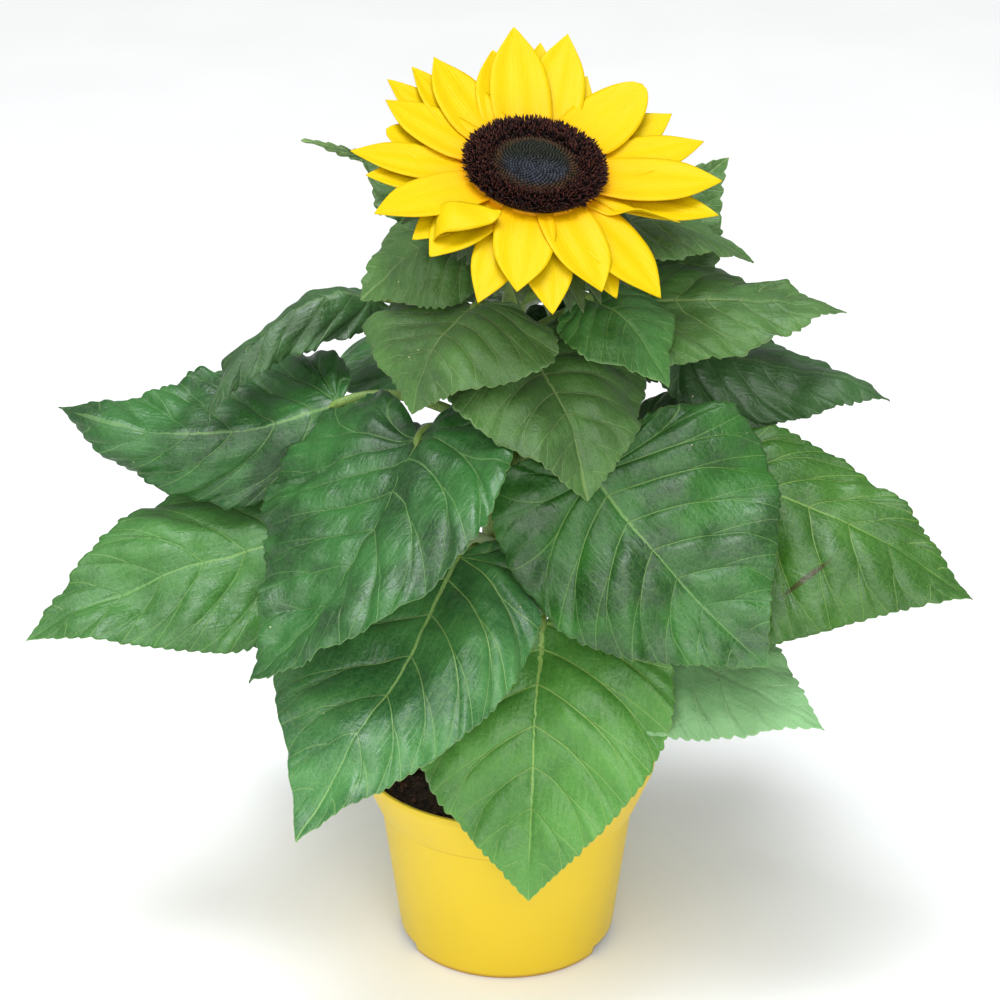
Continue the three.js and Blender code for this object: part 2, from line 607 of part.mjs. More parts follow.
add('pot', pot(), 'pot');
add('soil', soil(), 'soil');
add('stem', stemSolid(0), 'stem');
add('calyx', calyx(), 'stem');
add('ray_petals', rayPetals(), 'petal');
add('flower_disc', flowerDisc(), 'disc');
const aroundStem = stemSolid(CLEAR + 0.1);
for (const row of LEAVES) add(row.name, leafSolid({ ...LEAF_HABIT, ...row }, aroundStem), 'leaf');

export default plant;
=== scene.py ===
import math

import bpy
import numpy as np
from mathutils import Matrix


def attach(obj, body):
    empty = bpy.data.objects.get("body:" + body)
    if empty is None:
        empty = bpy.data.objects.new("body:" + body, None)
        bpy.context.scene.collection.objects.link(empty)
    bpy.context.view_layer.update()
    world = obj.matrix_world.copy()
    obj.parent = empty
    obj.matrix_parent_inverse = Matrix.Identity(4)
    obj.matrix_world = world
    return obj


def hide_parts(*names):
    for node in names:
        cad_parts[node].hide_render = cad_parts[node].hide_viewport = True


# A dwarf sunflower in a squat plastic pot. Tables and shapes are in millimetres, in the frame of the
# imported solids: +Z up, the origin in the middle of the pot's underside, the flower facing -Y.
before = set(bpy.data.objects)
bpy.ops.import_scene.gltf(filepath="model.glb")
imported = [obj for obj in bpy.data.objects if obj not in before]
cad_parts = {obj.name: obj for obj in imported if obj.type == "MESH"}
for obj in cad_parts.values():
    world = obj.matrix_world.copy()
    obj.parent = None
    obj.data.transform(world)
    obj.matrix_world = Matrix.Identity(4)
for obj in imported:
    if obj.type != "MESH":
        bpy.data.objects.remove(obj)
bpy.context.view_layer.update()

MM = 0.001
UP = np.array([0.0, 0.0, 1.0])
GOLDEN_ANGLE = math.radians(137.508)

# Pot, soil and stem, with the same driving sizes as their solids
POT_HEIGHT = 88
RIM_RADIUS = 65
RIM_DEPTH = 3
COLLAR_FOOT_Z = 66
COLLAR_FOOT_RADIUS = 57
BODY_TOP_RADIUS = 55.6
FOOT_RADIUS = 47
WALL = 1.6
FLOOR = 2.4
POT_SEGMENTS = 240
DRAIN_BEARINGS = [55, 125, 195, 341]
DRAIN_SIZE = [14, 28, 9]
DRAIN_REACH = FOOT_RADIUS + 0.5
SLOT_TOP = DRAIN_SIZE[2] / 2 + 0.5
SOIL_TOP = 79
SOIL_GAP = 0.4
SOIL_RINGS = 56
SOIL_SEGMENTS = 150
CRUMBS = 900
STEM_FOOT = [0, 0, 79.3]
STEM_BENDS = [[-13, 2, 185], [2.3, 11, 294]]
STEM_RADIUS = [6.4, 4.6]
STEM_FLARE = 2.4
STEM_FLARE_HEIGHT = 10
STEM_SUNK = 4
STEM_HAIRS = 420

# Flower
FLOWER_CENTRE = np.array([10.5, -14, 356.8])
FLOWER_TILT = 23
FLOWER_TURN = 18
DISC_RADIUS = 27.5
# The disc's face under its florets, at shares of its radius: a low dome, a dip and a raised outer ring
DISC_SHARES = [0, 0.2, 0.35, 0.5, 0.6, 0.72, 0.9, 1.0]
DISC_HEIGHTS = [5.7, 5.5, 5.05, 4.0, 2.8, 3.6, 3.4, 2.4]
DISC_SEGMENTS = 72
# Buds fill the disc up to a share of its radius, and open florets the rest from another share on
BUD_SPACING = 0.7
BUD_EDGE = 0.67
FLORET_SPACING = 1.22
FLORET_EDGE = 0.65
# Points of an open floret, and points in each fringe that leans over the disc's side
FLORET_POINTS = 8
FRINGE = 190
RING_DEPTH = 4
CALYX_DEPTH = 15
CALYX_RADIUS = 26
RING_SEGMENTS = 64
BRACTS = 14
BRACT_INNER = 16
BRACT_HALF = 6
BRACT_THICK = 0.7
# Each row of bracts: its height at the dish, its reach, how far its tips droop and how wide it is
BRACT_ROWS = [[-11, 52, 15, 1.2], [-12.2, 46.8, 18, 1.4], [-13.4, 41.6, 21, 1.6], [-6.6, 42, 8, 1.4]]
# Bearings at which the bracts are longer or shorter, and by what share
BRACT_UNEVEN = [[292, 0.14], [230, -0.22]]
# Petals start at PETAL_INNER, part from each other at PETAL_FREE and are PETAL_FULL times as wide as
# their rows say. PETAL_BASE is the height of their lowest layer and PETAL_LAYER the step to the next.
PETAL_INNER = 19
PETAL_FREE = DISC_RADIUS + 6
PETAL_BASE = -3.4
PETAL_LAYER = 1.3
PETAL_THICK = 0.4
PETAL_FULL = 1.1

# Petals: turn round the disc in degrees, reach from its centre, width, how far the tip stands above the
# disc's edge, and layer, 2 being the front one. Some rows go on with how blunt the tip is, from 0 to 1,
# and with the degrees that the petal rolls about its own length.
PETALS = [
    (183, 73, 19, 3, 1), (191, 67, 18, 1, 0), (211, 71, 21, 0, 2), (223, 62, 18, -3, 0),
    (233, 64, 21, -4, 1), (256, 70, 18, -9, 0), (267, 65, 22, -6, 2), (279, 70, 20, -9, 0),
    (296, 66, 22, -6, 2), (304, 66, 18, -9, 0), (314, 76, 23, -8, 1), (341, 62, 17, 2, 1, 0.25, 40),
    (353, 75, 19, 1, 0), (3, 75, 24, 4, 2), (20, 62, 18, 2, 0), (23, 74, 20, 4, 1),
    (40, 71, 20, 5, 0), (53, 69, 26, 8, 2, 1), (73, 61, 18, 9, 0), (82, 74, 22, 16, 1),
    (91, 71, 18, 13, 0), (100, 73, 23, 16, 2), (109, 65, 22, 12, 1), (131, 69, 22, 10, 2),
    (138, 71, 18, 9, 1), (146, 74, 18, 8, 0), (156, 67, 22, 6, 2), (166, 62, 22, 3, 0, 1),
]

# The end of a petal that is folded back over the others, in the flower's axes
FOLD_START = [-36, -36]
FOLD_LENGTH = 24
FOLD_WIDE = 18


def leaf(name, root, base, tip, half, bow, **habit):
    """A leaf's row. base is where the petiole ends and tip the blade's tip, each as [reach from the pot's
    axis, bearing in degrees anticlockwise from +X, height]. root: height on the stem. half: widths of
    the left and right halves, seen from above along the blade. bow, side: how far the midrib's middle
    stands above its chord and to its right. roll, twist: degrees that the blade leans to its right at
    its base, and turns more by its tip. fold, curl: degrees that each half rises from the midrib, and
    bends down again by its margin. lobe: how far each reaches behind the base, as a share of the
    length. wave: how far its margin goes up and down. teeth: how deep its teeth are, as a share. tail:
    how far the blade's outer part is drawn in to a narrow tail. look: its colours."""
    usual = dict(side=0, roll=0, twist=0, fold=[8, 8], curl=[35, 35], lobe=[0.11, 0.11], wave=[1.3, 1.3],
                 teeth=[1, 1], tail=0, look="fresh")
    return {**usual, **habit, "name": "leaf_" + name, "root": root, "base": base, "tip": tip,
            "half": half, "bow": bow}


LEAVES = [
    leaf("front_low", 160, [39, 292, 168], [84, 276, 62.5], [57, 58], 10, fold=[14, 12],
         curl=[20, 35], look="low"),
    leaf("front_left_low", 185, [50, 246, 203], [166, 240, 128], [45, 68], 6, side=-7, fold=[0, 8],
         curl=[35, 30], look="ribbed", teeth=[0.8, 0.1]),
    leaf("front_right_low", 150, [50, 334, 159], [153, 327, 142], [35, 39], 3, roll=32,
         curl=[30, 30], look="pale"),
    leaf("left_low", 180, [83, 179, 188], [204, 187, 154], [41, 43], 8, roll=-42, twist=10,
         fold=[4, 8], curl=[40, 30]),
    leaf("right_low", 200, [84, 345, 228], [196, 346, 184], [30, 63], 8, roll=48, twist=-10,
         fold=[8, 6], curl=[30, 35], lobe=[0.04, 0.11], look="painted_shade_fresh"),
    leaf("front_left_high", 226, [49, 222, 249], [141, 224, 172], [54, 68], 6, side=-14,
         fold=[28, 6], curl=[45, 25], lobe=[0.16, 0.26], look="glossy"),
    leaf("front_right_high", 215, [58, 307, 239], [134, 321, 172], [69, 51], -2, side=2, roll=44,
         lobe=[0.1, 0.24], look="broad"),
    leaf("left_high", 235, [72, 170, 247], [193, 172, 240], [34, 45], -8, side=-14, roll=-30,
         fold=[-35, 0], curl=[35, 20], look="glossy", wave=[2, 2]),
    leaf("right_high", 246, [78, 18, 268], [162, 5, 249], [26, 28], 1, roll=10, fold=[5, -25],
         curl=[30, 35], look="dusky", wave=[1.5, 3]),
    leaf("right_under", 222, [56, 13, 233], [130, 10, 237], [30, 28], 8, roll=10, fold=[5, -5],
         look="dusky"),
    leaf("left_curled", 262, [68, 148, 286], [125, 180, 244], [19, 27], 18, roll=-20,
         fold=[-15, -30], curl=[60, 40], lobe=[0.14, 0.14], look="dusky", wave=[2, 2]),
    leaf("front_top", 270, [20, 292, 285], [72, 297, 236], [48, 45], 9, roll=-6, fold=[16, 10],
         lobe=[0.14, 0.14], look="matte"),
    leaf("front_left_top", 284, [22, 232, 301], [62, 232, 267], [50, 48], 9, fold=[12, 4],
         lobe=[0.08, 0.08], look="matte"),
    leaf("front_right_top", 296, [38, 330, 305], [76, 329, 275], [27, 27], 5, roll=10,
         curl=[30, 30]),
    leaf("left_top", 302, [17, 168, 320], [62, 180, 299], [29, 28], 4, roll=-28, fold=[14, 4],
         curl=[40, 30], look="matte"),
    leaf("right_top", 276, [50, 10, 295], [140, 3, 289], [34, 36], 2, roll=28, twist=-14,
         fold=[-4, 10], curl=[30, 25], look="matte", wave=[2, 2]),
    leaf("right_crown", 308, [52, 30, 321], [105, 14, 304], [24, 24], 7, roll=8, curl=[30, 30],
         look="matte"),
    leaf("back_right_crown", 304, [84, 41, 294], [110, 32, 340], [16, 27], 6, roll=50,
         curl=[30, 30], look="matte"),
    leaf("back_left_crown", 300, [72, 115, 321], [109, 143, 346], [21, 15], 3, roll=-50,
         fold=[14, 30], curl=[20, 40], look="matte", tail=0.85),
    leaf("back_left_low", 172, [52, 136, 190], [170, 132, 112], [52, 52], 14),
    leaf("back_low", 190, [50, 92, 206], [176, 96, 152], [53, 53], 14, look="glossy"),
    leaf("back_right_low", 168, [54, 46, 184], [174, 42, 124], [52, 52], 14),
    leaf("back_left_high", 240, [52, 112, 258], [156, 118, 214], [45, 45], 12, fold=[-8, 8],
         look="glossy"),
    leaf("back_right_high", 250, [52, 62, 266], [152, 58, 226], [44, 44], 12, fold=[8, -8],
         look="glossy"),
    leaf("back_top", 262, [34, 88, 287], [136, 88, 237], [38, 38], 8, fold=[8, 22], curl=[30, 30],
         look="matte"),
    leaf("back_under", 140, [44, 88, 152], [142, 80, 94], [46, 46], 12),
    leaf("back_right_mid", 178, [54, 17, 200], [152, 14, 170], [36, 38], 10),
    leaf("back_left_mid", 205, [50, 148, 222], [122, 146, 202], [27, 32], 9, look="glossy"),
    leaf("back_right_small", 216, [50, 42, 227], [114, 40, 204], [26, 26], 7),
]

# A dry brown scar on one leaf, painted dark also for the shade in its crease: its middle on the flat blade,
# its length along and width across
SCAR_PLACE = [29, 54.5]
SCAR_SIZE = [12.5, 1.3]
SCAR_TURN = -32

# Outline of a half blade of width 1 and length 1, as in the solids
WIDEST = 0.27
MARGIN_SPLIT = 0.45
LOBE_OUT = [0, 0.3, 1, 1]
LOBE_BACK = [-1.5, -1.1]
SHOULDER_OUT = [1, 1, 0.35, 0]
SHOULDER_ALONG = [WIDEST, WIDEST + 0.27, 0.78, 1]
TAIL_SHARES = [0.28, 0.6]
PETIOLE_RADIUS = [2.5, 1.9]
PETIOLE_RISE = 0.6
PETIOLE_HANDLES = [0.4, 0.35]
RIB_END_RADIUS = 0.35
RIB_START = 0.012
RIB_END = 0.88
STALK_STEP = 2

# Side veins: their ends on the margin, from the base at 0 to the tip at 1, and how strong each is. The
# first and the last line are the blade's ends and carry no vein. Those up to FAN start at the base, and
# the others bunch towards it. A vein bends at a share of the way out and of the way forward.
FAN = 0.45
BUNCH = 1.5
VEIN_BEND = [0.62, 0.3]
VEIN_LINES = np.array([0, 0.17, 0.32, FAN, 0.56, 0.65, 0.73, 0.8, 0.865, 0.93, 1.0])
VEIN_STRENGTH = np.array([0, 0.5, 0.65, 1.15, 1.0, 0.95, 0.9, 0.8, 0.65, 0.5, 0])
# How closely a blade's rows of points gather by the side veins, added near the midrib and everywhere
VEIN_GATHER = [0.6, 0.1]
# Half widths of the grooves over veins, and over their forks further down
VEIN_HALF = 0.9
# Two kinds of fork of a side vein: where on it they start, how far they drift to the next vein, and
# whether they leave the vein on the tip's side (1) or on the base's side (0) of an interval
FORKS = [[0.42, 0.42, 1], [0.66, 0.3, 0]]
FORK_HALF = 0.7
NOWHERE = 99

# Blade relief
BLADE_THICK = 0.6
# A tooth rises along the margin in steps and then drops at once. It fades out inland.
TOOTH_PITCH = 5
TOOTH_DEPTH = 1.3
TOOTH_SHAPE = [0, 0.5, 0.9, 1.0]
TOOTH_INLAND = 2.5
COLUMN_PITCH = 1.3
COLUMN_LIMITS = [16, 40]
RIB_GROOVE = 0.6
VEIN_GROOVE = 0.4
FORK_GROOVE = 0.25
# Heights of the pillows between side veins, by the midrib and by the margin, and how wide apart the
# veins are where pillows have their whole height
QUILT = [1.9, 0.8]
QUILT_WIDE = 11
WAVE_LENGTH = 27
# Heights and lengths of the blade's unevenness
UNEVEN = [[0.5, 15], [2.0, 46]]
VEIN_RIDGE = 0.45

# What the soft lights point at, and the camera, in metres and degrees. The focal length is a share of
# the picture's width.
LIGHT_AIM = (0, 0, 0.2)
CAMERA_PLACE = (-0.003, -1.1, 0.7)
CAMERA_DOWN = 24.1
CAMERA_FOCAL = 2.86
SENSOR = 36


def unit(rows):
    return rows / np.linalg.norm(rows, axis=-1, keepdims=True)


def smooth_step(value, low, high):
    share = np.clip((value - low) / (high - low), 0, 1)
    return share * share * (3 - 2 * share)


def bezier(points, t):
    s = 1 - t
    return points[0] * s**3 + points[1] * 3 * t * s * s + points[2] * 3 * t * t * s + points[3] * t**3


def coords(*parts):
    """Numbers or arrays put together as points."""
    return np.stack(np.broadcast_arrays(*parts), -1)


def around(r, turn, z):
    """Points at a radius, a turn and a height about the Z axis."""
    return coords(r * np.cos(turn), r * np.sin(turn), z)


def full_turn(segments):
    return 2 * np.pi * np.arange(segments) / segments


def run_along(points):
    """The distance along each row of points, from its first."""
    steps = np.linalg.norm(np.diff(points, axis=-2), axis=-1)
    return np.concatenate([np.zeros_like(steps[..., :1]), np.cumsum(steps, axis=-1)], axis=-1)


def read_between(at, keys, table):
    """A table's rows, read between the keys that they stand at."""
    return coords(*(np.interp(at, keys, column) for column in table.T))


def ripples(x, y, length, seed, waves=7):
    """A smooth uneven height of about -1 to 1, with a given wavelength."""
    rng = np.random.default_rng(seed)
    total = np.zeros(np.broadcast(x, y).shape)
    for turn, phase, stretch in rng.uniform((0, 0, 0.75), (2 * np.pi, 2 * np.pi, 1.35), (waves, 3)):
        run = x * np.cos(turn) + y * np.sin(turn)
        total += np.sin(2 * np.pi * run / (length * stretch) + phase)
    return total / np.sqrt(waves)


# Meshes

def grid_faces(corners):
    """Quads over a grid of corner numbers, and triangles where two neighbours are one point."""
    quads = np.stack([corners[:-1, :-1], corners[:-1, 1:], corners[1:, 1:], corners[1:, :-1]], -1)
    quads = quads.reshape(-1, 4)
    same = quads == np.roll(quads, -1, axis=1)
    pinched = same.sum(axis=1) == 1
    triangles = quads[pinched][~same[pinched]].reshape(-1, 3)
    return [quads[~same.any(axis=1)], triangles]


def strip_faces(one, other):
    """A band between two rows of corner numbers."""
    return grid_faces(np.stack([one, other], -1))


def ring_grid(rows, segments, pinched=()):
    """Corner numbers of rings of points that close on themselves. A pinched row is one point."""
    corners = np.arange(rows * segments).reshape(rows, segments)
    for row in pinched:
        corners[row] = corners[row, 0]
    return np.concatenate([corners, corners[:, :1]], axis=1)


def limb_faces(rows, sides):
    """Faces of a closed limb of rings. The middles of its two ends follow the rings' points."""
    rings = ring_grid(rows, sides)
    middle = np.full(sides, rows * sides)
    return grid_faces(rings) + [
        np.stack([middle, rings[0, 1:], rings[0, :-1]], -1),
        np.stack([middle + 1, rings[-1, :-1], rings[-1, 1:]], -1)]


class Shape:
    """Points, faces and point values that are gathered into one mesh."""

    def __init__(self):
        self.points = []
        self.faces = []
        self.slots = []
        self.values = {}
        self.first = 0
        self.count = 0

    def add(self, points, face_sets, slot=0, **values):
        """Points with their faces. Values that are fewer than the points are used again from their
        first."""
        points = np.asarray(points, float).reshape(-1, 3)
        self.first = self.count
        self.count += len(points)
        self.points.append(points)
        for name, value in values.items():
            self.values.setdefault(name, []).append((self.first, np.resize(value, points.shape)))
        self.cover(face_sets, slot)

    def cover(self, face_sets, slot):
        """More faces over the points added last: arrays of corner numbers, 3 or 4 wide, counted from
        the first of those points."""
        for faces in face_sets:
            if len(faces):
                self.faces.append(faces + self.first)
                self.slots.append(np.full(len(faces), slot))

    def build(self, name, node, materials):
        points = np.concatenate(self.points)
        corners = np.concatenate([faces.ravel() for faces in self.faces])
        used, corners = np.unique(corners, return_inverse=True)
        sizes = np.concatenate([np.full(len(faces), faces.shape[1]) for faces in self.faces])
        mesh = bpy.data.meshes.new(name)
        mesh.vertices.add(len(used))
        mesh.vertices.foreach_set("co", (points[used] * MM).ravel())
        mesh.loops.add(len(corners))
        mesh.loops.foreach_set("vertex_index", corners.ravel())
        mesh.polygons.add(len(sizes))
        mesh.polygons.foreach_set("loop_start", np.cumsum(sizes) - sizes)
        mesh.polygons.foreach_set("material_index", np.concatenate(self.slots))
        mesh.polygons.foreach_set("use_smooth", np.ones(len(sizes), bool))
        for value_name, sets in self.values.items():
            whole = np.zeros((self.count, 3))
            for first, value in sets:
                whole[first:first + len(value)] = value
            layer = mesh.attributes.new(value_name, "FLOAT_VECTOR", "POINT")
            layer.data.foreach_set("vector", whole[used].ravel())
        mesh.update(calc_edges=True)
        mesh.validate()
        for material in materials:
            mesh.materials.append(material)
        piece = bpy.data.objects.new(name, mesh)
        bpy.context.scene.collection.objects.link(piece)
        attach(piece, "root")
        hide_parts(node)
        return piece


def tube(shape, path, radius, sides, flute, flutes, start=UP, slot=0):
    """A closed limb along points, with a radius for each, and with shallow flutes along it."""
    along = unit(np.gradient(path, axis=0))
    side = np.cross(along[0], start)
    rights = []
    for direction in along:
        side = unit(side - direction * (side @ direction))
        rights.append(side)
    rights = np.array(rights)[:, None]
    fronts = np.cross(along[:, None], rights)
    turn = full_turn(sides)
    reach = radius[:, None] * (1 + flute * np.cos(flutes * turn))
    ring = rights * np.cos(turn)[:, None] + fronts * np.sin(turn)[:, None]
    rings = path[:, None] + ring * reach[..., None]
    points = np.concatenate([rings.reshape(-1, 3), path[[0, -1]]])
    shape.add(points, limb_faces(len(path), sides), slot)


def shell(shape, middle, lift, thick, **values):
    """A thin closed sheet. Its last row may be one point."""
    rows, columns = middle.shape[:2]
    number = np.arange(rows * columns).reshape(rows, columns)
    if np.allclose(middle[-1, 0], middle[-1, -1]):
        number[-1] = number[-1, columns // 2]
    under = number + rows * columns
    faces = grid_faces(number) + grid_faces(under[:, ::-1])
    faces += strip_faces(number[:, -1], under[:, -1]) + strip_faces(under[:, 0], number[:, 0])
    faces += strip_faces(number[0], under[0]) + strip_faces(under[-1], number[-1])
    shape.add([middle + lift * thick / 2, middle - lift * thick / 2], faces, **values)


def lathe(shape, profile, segments, bring=None, **values):
    """A turned closed body from a profile of radius and height that starts and ends on the axis. bring
    takes its points to their place."""
    profile = np.asarray(profile, float)
    points = around(profile[:, :1], full_turn(segments), profile[:, 1:])
    faces = grid_faces(ring_grid(len(profile), segments, pinched=(0, -1)))
    shape.add(points if bring is None else bring(points), faces, **values)


def rounded(profile, radius, steps=4):
    """A profile with its corners rounded. radius has a value for each point, 0 for a sharp one."""
    profile = np.asarray(profile, float)
    made = []
    for i, (corner, r) in enumerate(zip(profile, radius)):
        if r == 0:
            made.append(corner)
            continue
        before = unit(profile[i - 1] - corner)
        after = unit(profile[i + 1] - corner)
        for t in np.linspace(0, 1, steps + 1):
            made.append(corner + before * r * (1 - t)**2 + after * r * t * t)
    return np.array(made)


def scatter(shape, body, places, axes, sizes, slot=0, **values):
    """Copies of a small body, which is its points and faces. axes holds each copy's three directions
    as rows."""
    template, face_sets = body
    points = np.einsum("pk,nkj->npj", template, axes) * sizes[:, None, None] + places[:, None]
    first = np.arange(len(places))[:, None, None] * len(template)
    copied = [(faces[None] + first).reshape(-1, faces.shape[1]) for faces in face_sets]
    shape.add(points, copied, slot, **values)


def axes_along(directions, rng):
    """Three directions for each given one, which is the third, with a free turn about it."""
    helper = unit(rng.normal(size=directions.shape))
    first = unit(np.cross(helper, directions))
    return np.stack([first, np.cross(directions, first), directions], axis=1)


def spike(sides, rings):
    """A closed body along +Z, with its top at height 1. rings are pairs of radius and height."""
    r, z = np.array(rings, float).T[..., None]
    points = around(r, full_turn(sides), z).reshape(-1, 3)
    return np.concatenate([points, [[0, 0, rings[0][1]], [0, 0, 1]]]), limb_faces(len(rings), sides)


# Materials

def srgb(red, green_painted_shade, blue):
    """A colour of 0 to 255 as the linear values that a shader takes."""
    values = np.array([red, green_painted_shade, blue]) / 255
    linear = np.where(values <= 0.04045, values / 12.92, ((values + 0.055) / 1.055)**2.4)
    return (*linear.tolist(), 1.0)


class Look:
    """A material's nodes, made by short calls. Inputs are sockets or plain values, and colours are of 0
    to 255 as in a picture."""

    def __init__(self, name, **settings):
        self.material = bpy.data.materials.new(name)
        self.material.use_nodes = True
        self.tree = self.material.node_tree
        self.shader = self.tree.nodes["Principled BSDF"]
        for key, value in settings.items():
            self.set(self.shader.inputs[key.replace("_", " ")], value)

    def set(self, socket, value):
        if isinstance(value, bpy.types.NodeSocket):
            self.tree.links.new(value, socket)
        else:
            socket.default_value = srgb(*value) if socket.type == "RGBA" else value

    def node(self, kind, inputs, output=0, **settings):
        made = self.tree.nodes.new("ShaderNode" + kind)
        for key, value in settings.items():
            setattr(made, key, value)
        for key, value in inputs.items():
            self.set(made.inputs[key], value)
        return made.outputs[output]

    def math(self, operation, a, b=0.0, c=0.0):
        return self.node("Math", {0: a, 1: b, 2: c}, operation=operation)

    def times(self, a, b):
        return self.math("MULTIPLY", a, b)

    def heap(self, height, *parts):
        """A height with others on it, each times its share."""
        for share, part in parts:
            height = self.math("MULTIPLY_ADD", part, share, height)
        return height

    def mix(self, share, a, b):
        return self.node("Mix", {0: share, 6: a, 7: b}, 2, data_type="RGBA")

    def coats(self, colour, *coats):
        """A colour with others over it, each where its mask says."""
        for mask, other in coats:
            colour = self.mix(mask, colour, other)
        return colour

    def fade(self, value, low, high, to_low=0.0, to_high=1.0):
        return self.node("MapRange", {
            "Value": value, "From Min": low, "From Max": high, "To Min": to_low, "To Max": to_high,
        }, interpolation_type="SMOOTHSTEP")

    def vector(self, name):
        """A point value."""
        return self.node("Attribute", {}, 1, attribute_name=name)

    def split(self, vector):
        parts = self.tree.nodes.new("ShaderNodeSeparateXYZ")
        self.set(parts.inputs[0], vector)
        return tuple(parts.outputs)

    def values(self, name):
        """A point value's three numbers."""
        return self.split(self.vector(name))

    def place(self):
        """The object's own coordinates, in metres."""
        return self.node("TexCoord", {}, 3)

    def noise(self, vector, scale, detail=2.0, roughness=0.5, output=0):
        return self.node("TexNoise", {
            "Vector": vector, "Scale": scale, "Detail": detail, "Roughness": roughness}, output)

    def cells(self, vector, scale, feature="F1"):
        return self.node("TexVoronoi", {"Vector": vector, "Scale": scale}, feature=feature)

    def stretch(self, vector, scale):
        return self.node("Mapping", {"Vector": vector, "Scale": scale})

    def bump(self, height, distance):
        return self.node("Bump", {"Height": height, "Distance": distance, "Strength": 1.0})

    def wear(self, colour, roughness, normal=None):
        self.set(self.shader.inputs["Base Color"], colour)
        self.set(self.shader.inputs["Roughness"], roughness)
        if normal is not None:
            self.set(self.shader.inputs["Normal"], normal)
        return self.material


def vein_masks(look, flat, rib_width, width):
    """How much of the midrib and side veins, of their forks and of the net shows at a point, and the
    small blisters between the net's lines. rib_width is half the midrib's width at the base."""
    x, _, _ = look.split(flat)
    side, strength, _ = look.values("veins")
    fork, small_fork, rim = look.values("forks")
    along, _, _ = look.values("place")
    rib_half = look.fade(along, -0.15, 0.8, rib_width, 0.25)
    rib = look.fade(look.math("DIVIDE", look.math("ABSOLUTE", x), rib_half), 1.25, 0.55)
    side_half = look.times(strength, look.fade(rim, 2.0, 35.0, 0.11 * width, 0.28 * width))
    vein = look.fade(look.math("DIVIDE", side, look.math("ADD", side_half, 0.02)), 1.6, 0.4)
    vein = look.times(vein, look.fade(rim, 0.0, 28.0, 0.25, 0.95))
    forks = look.math("MINIMUM", look.math("ABSOLUTE", fork), look.math("ABSOLUTE", small_fork))
    forks = look.fade(forks, 0.32 * width, 0.08)
    uneven = look.noise(flat, 0.35, 3.0, output=1)
    uneven = look.node("VectorMath", {0: uneven, 3: 2.4}, operation="SCALE")
    bent = look.node("VectorMath", {0: flat, 1: uneven}, operation="ADD")
    edge = look.cells(bent, 0.32, "DISTANCE_TO_EDGE")
    return look.math("MAXIMUM", rib, vein), forks, look.fade(edge, 0.07, 0.015), look.fade(edge, 0.0, 0.3)


def scar_and_crease_shade_mask(look, flat):
    """How much of the leaf's scar, painted dark for the dry scar and for the shade in its crease, there is
    at a point.
    """
    turned = look.node("Mapping", {
        "Vector": flat, "Location": (*SCAR_PLACE, 0.0), "Rotation": (0.0, 0.0, math.radians(SCAR_TURN)),
        "Scale": (*SCAR_SIZE, 1.0)}, vector_type="TEXTURE")
    along, across, _ = look.split(turned)
    far = look.heap(look.times(across, across), (along, along))
    torn = look.fade(look.noise(flat, 0.5, 3, 0.7), 0.3, 0.55, 0.3, 1.0)
    return look.times(look.fade(far, 1.5, 0.3), torn)


def leaf_top(name, deep, light, vein, roughness, sheen=0.0, coat=0.0, show=0.5, rib=0.75,
             scarred=False):
    """A blade's upper side. show is how clearly the main veins stand out at the base, and rib half the
    midrib's width there."""
    look = Look(name, Sheen_Weight=sheen, Sheen_Roughness=0.5, Coat_Weight=coat, Coat_Roughness=0.3,
                Specular_IOR_Level=0.5)
    flat = look.vector("flat")
    _, _, cross = look.values("veins")
    _, _, rim = look.values("forks")
    along, run, _ = look.values("place")
    main, forks, net, blister = vein_masks(look, flat, rib, 1.0)
    grain = look.noise(flat, 1.1, 3, 0.7)
    specks = look.fade(look.cells(flat, 0.11), 0.045, 0.025, 0.0, 0.8)
    few = look.fade(look.noise(flat, 0.05, 1), 0.5, 0.62)
    colour = look.coats(
        deep,
        (look.fade(look.noise(flat, 0.04, 3), 0.32, 0.68), light),
        (look.fade(look.noise(flat, 0.3, 3, 0.6), 0.35, 0.75, 0.0, 0.3), light),
        (look.fade(grain, 0.35, 0.7, 0.0, 0.3), light),
        (look.fade(look.noise(flat, 2.4, 1), 0.6, 0.72, 0.0, 0.22), vein),
        (look.times(net, 0.1), vein),
        (look.times(forks, 0.3), vein),
        (look.times(main, look.fade(along, 0.0, 0.85, show, 0.5 * show)), vein),
        (look.fade(rim, 0.5, 0.1, 0.0, 0.35), vein),
        (look.times(specks, few), (206, 200, 150)),
    )
    if scarred:
        # The scar's dark brown: the dry scar's own colour and painted shade in its crease
        colour = look.mix(scar_and_crease_shade_mask(look, flat), colour, (54, 46, 14))
    rough = look.fade(look.noise(flat, 0.16, 3), 0.3, 0.7, roughness - 0.07, roughness + 0.07)
    ridges = look.node("CombineXYZ", {0: run, 1: look.times(cross, 0.3)})
    ridges = look.times(look.noise(ridges, 0.3, 2), look.fade(rim, 2.0, 28.0, 0.2, 0.7))
    height = look.heap(ridges, (0.09, blister), (-0.12, forks), (0.12, look.noise(flat, 0.2, 2)),
                       (0.1, grain))
    return look.wear(colour, look.heap(rough, (0.12, main)), look.bump(height, MM))


def leaf_under(name, deep, vein):
    look = Look(name, Sheen_Weight=0.3, Sheen_Roughness=0.5)
    flat = look.vector("flat")
    main, forks, net, blister = vein_masks(look, flat, 1.2, 1.25)
    colour = look.coats(
        deep,
        (look.fade(look.noise(flat, 0.09, 3), 0.3, 0.7), vein),
        (0.45, deep),
        (look.times(net, 0.4), vein),
        (look.math("MAXIMUM", main, forks), vein),
    )
    height = look.heap(look.times(blister, -0.2), (0.2, forks), (0.15, look.noise(flat, 1.8, 3, 0.6)))
    return look.wear(colour, 0.62, look.bump(height, MM))


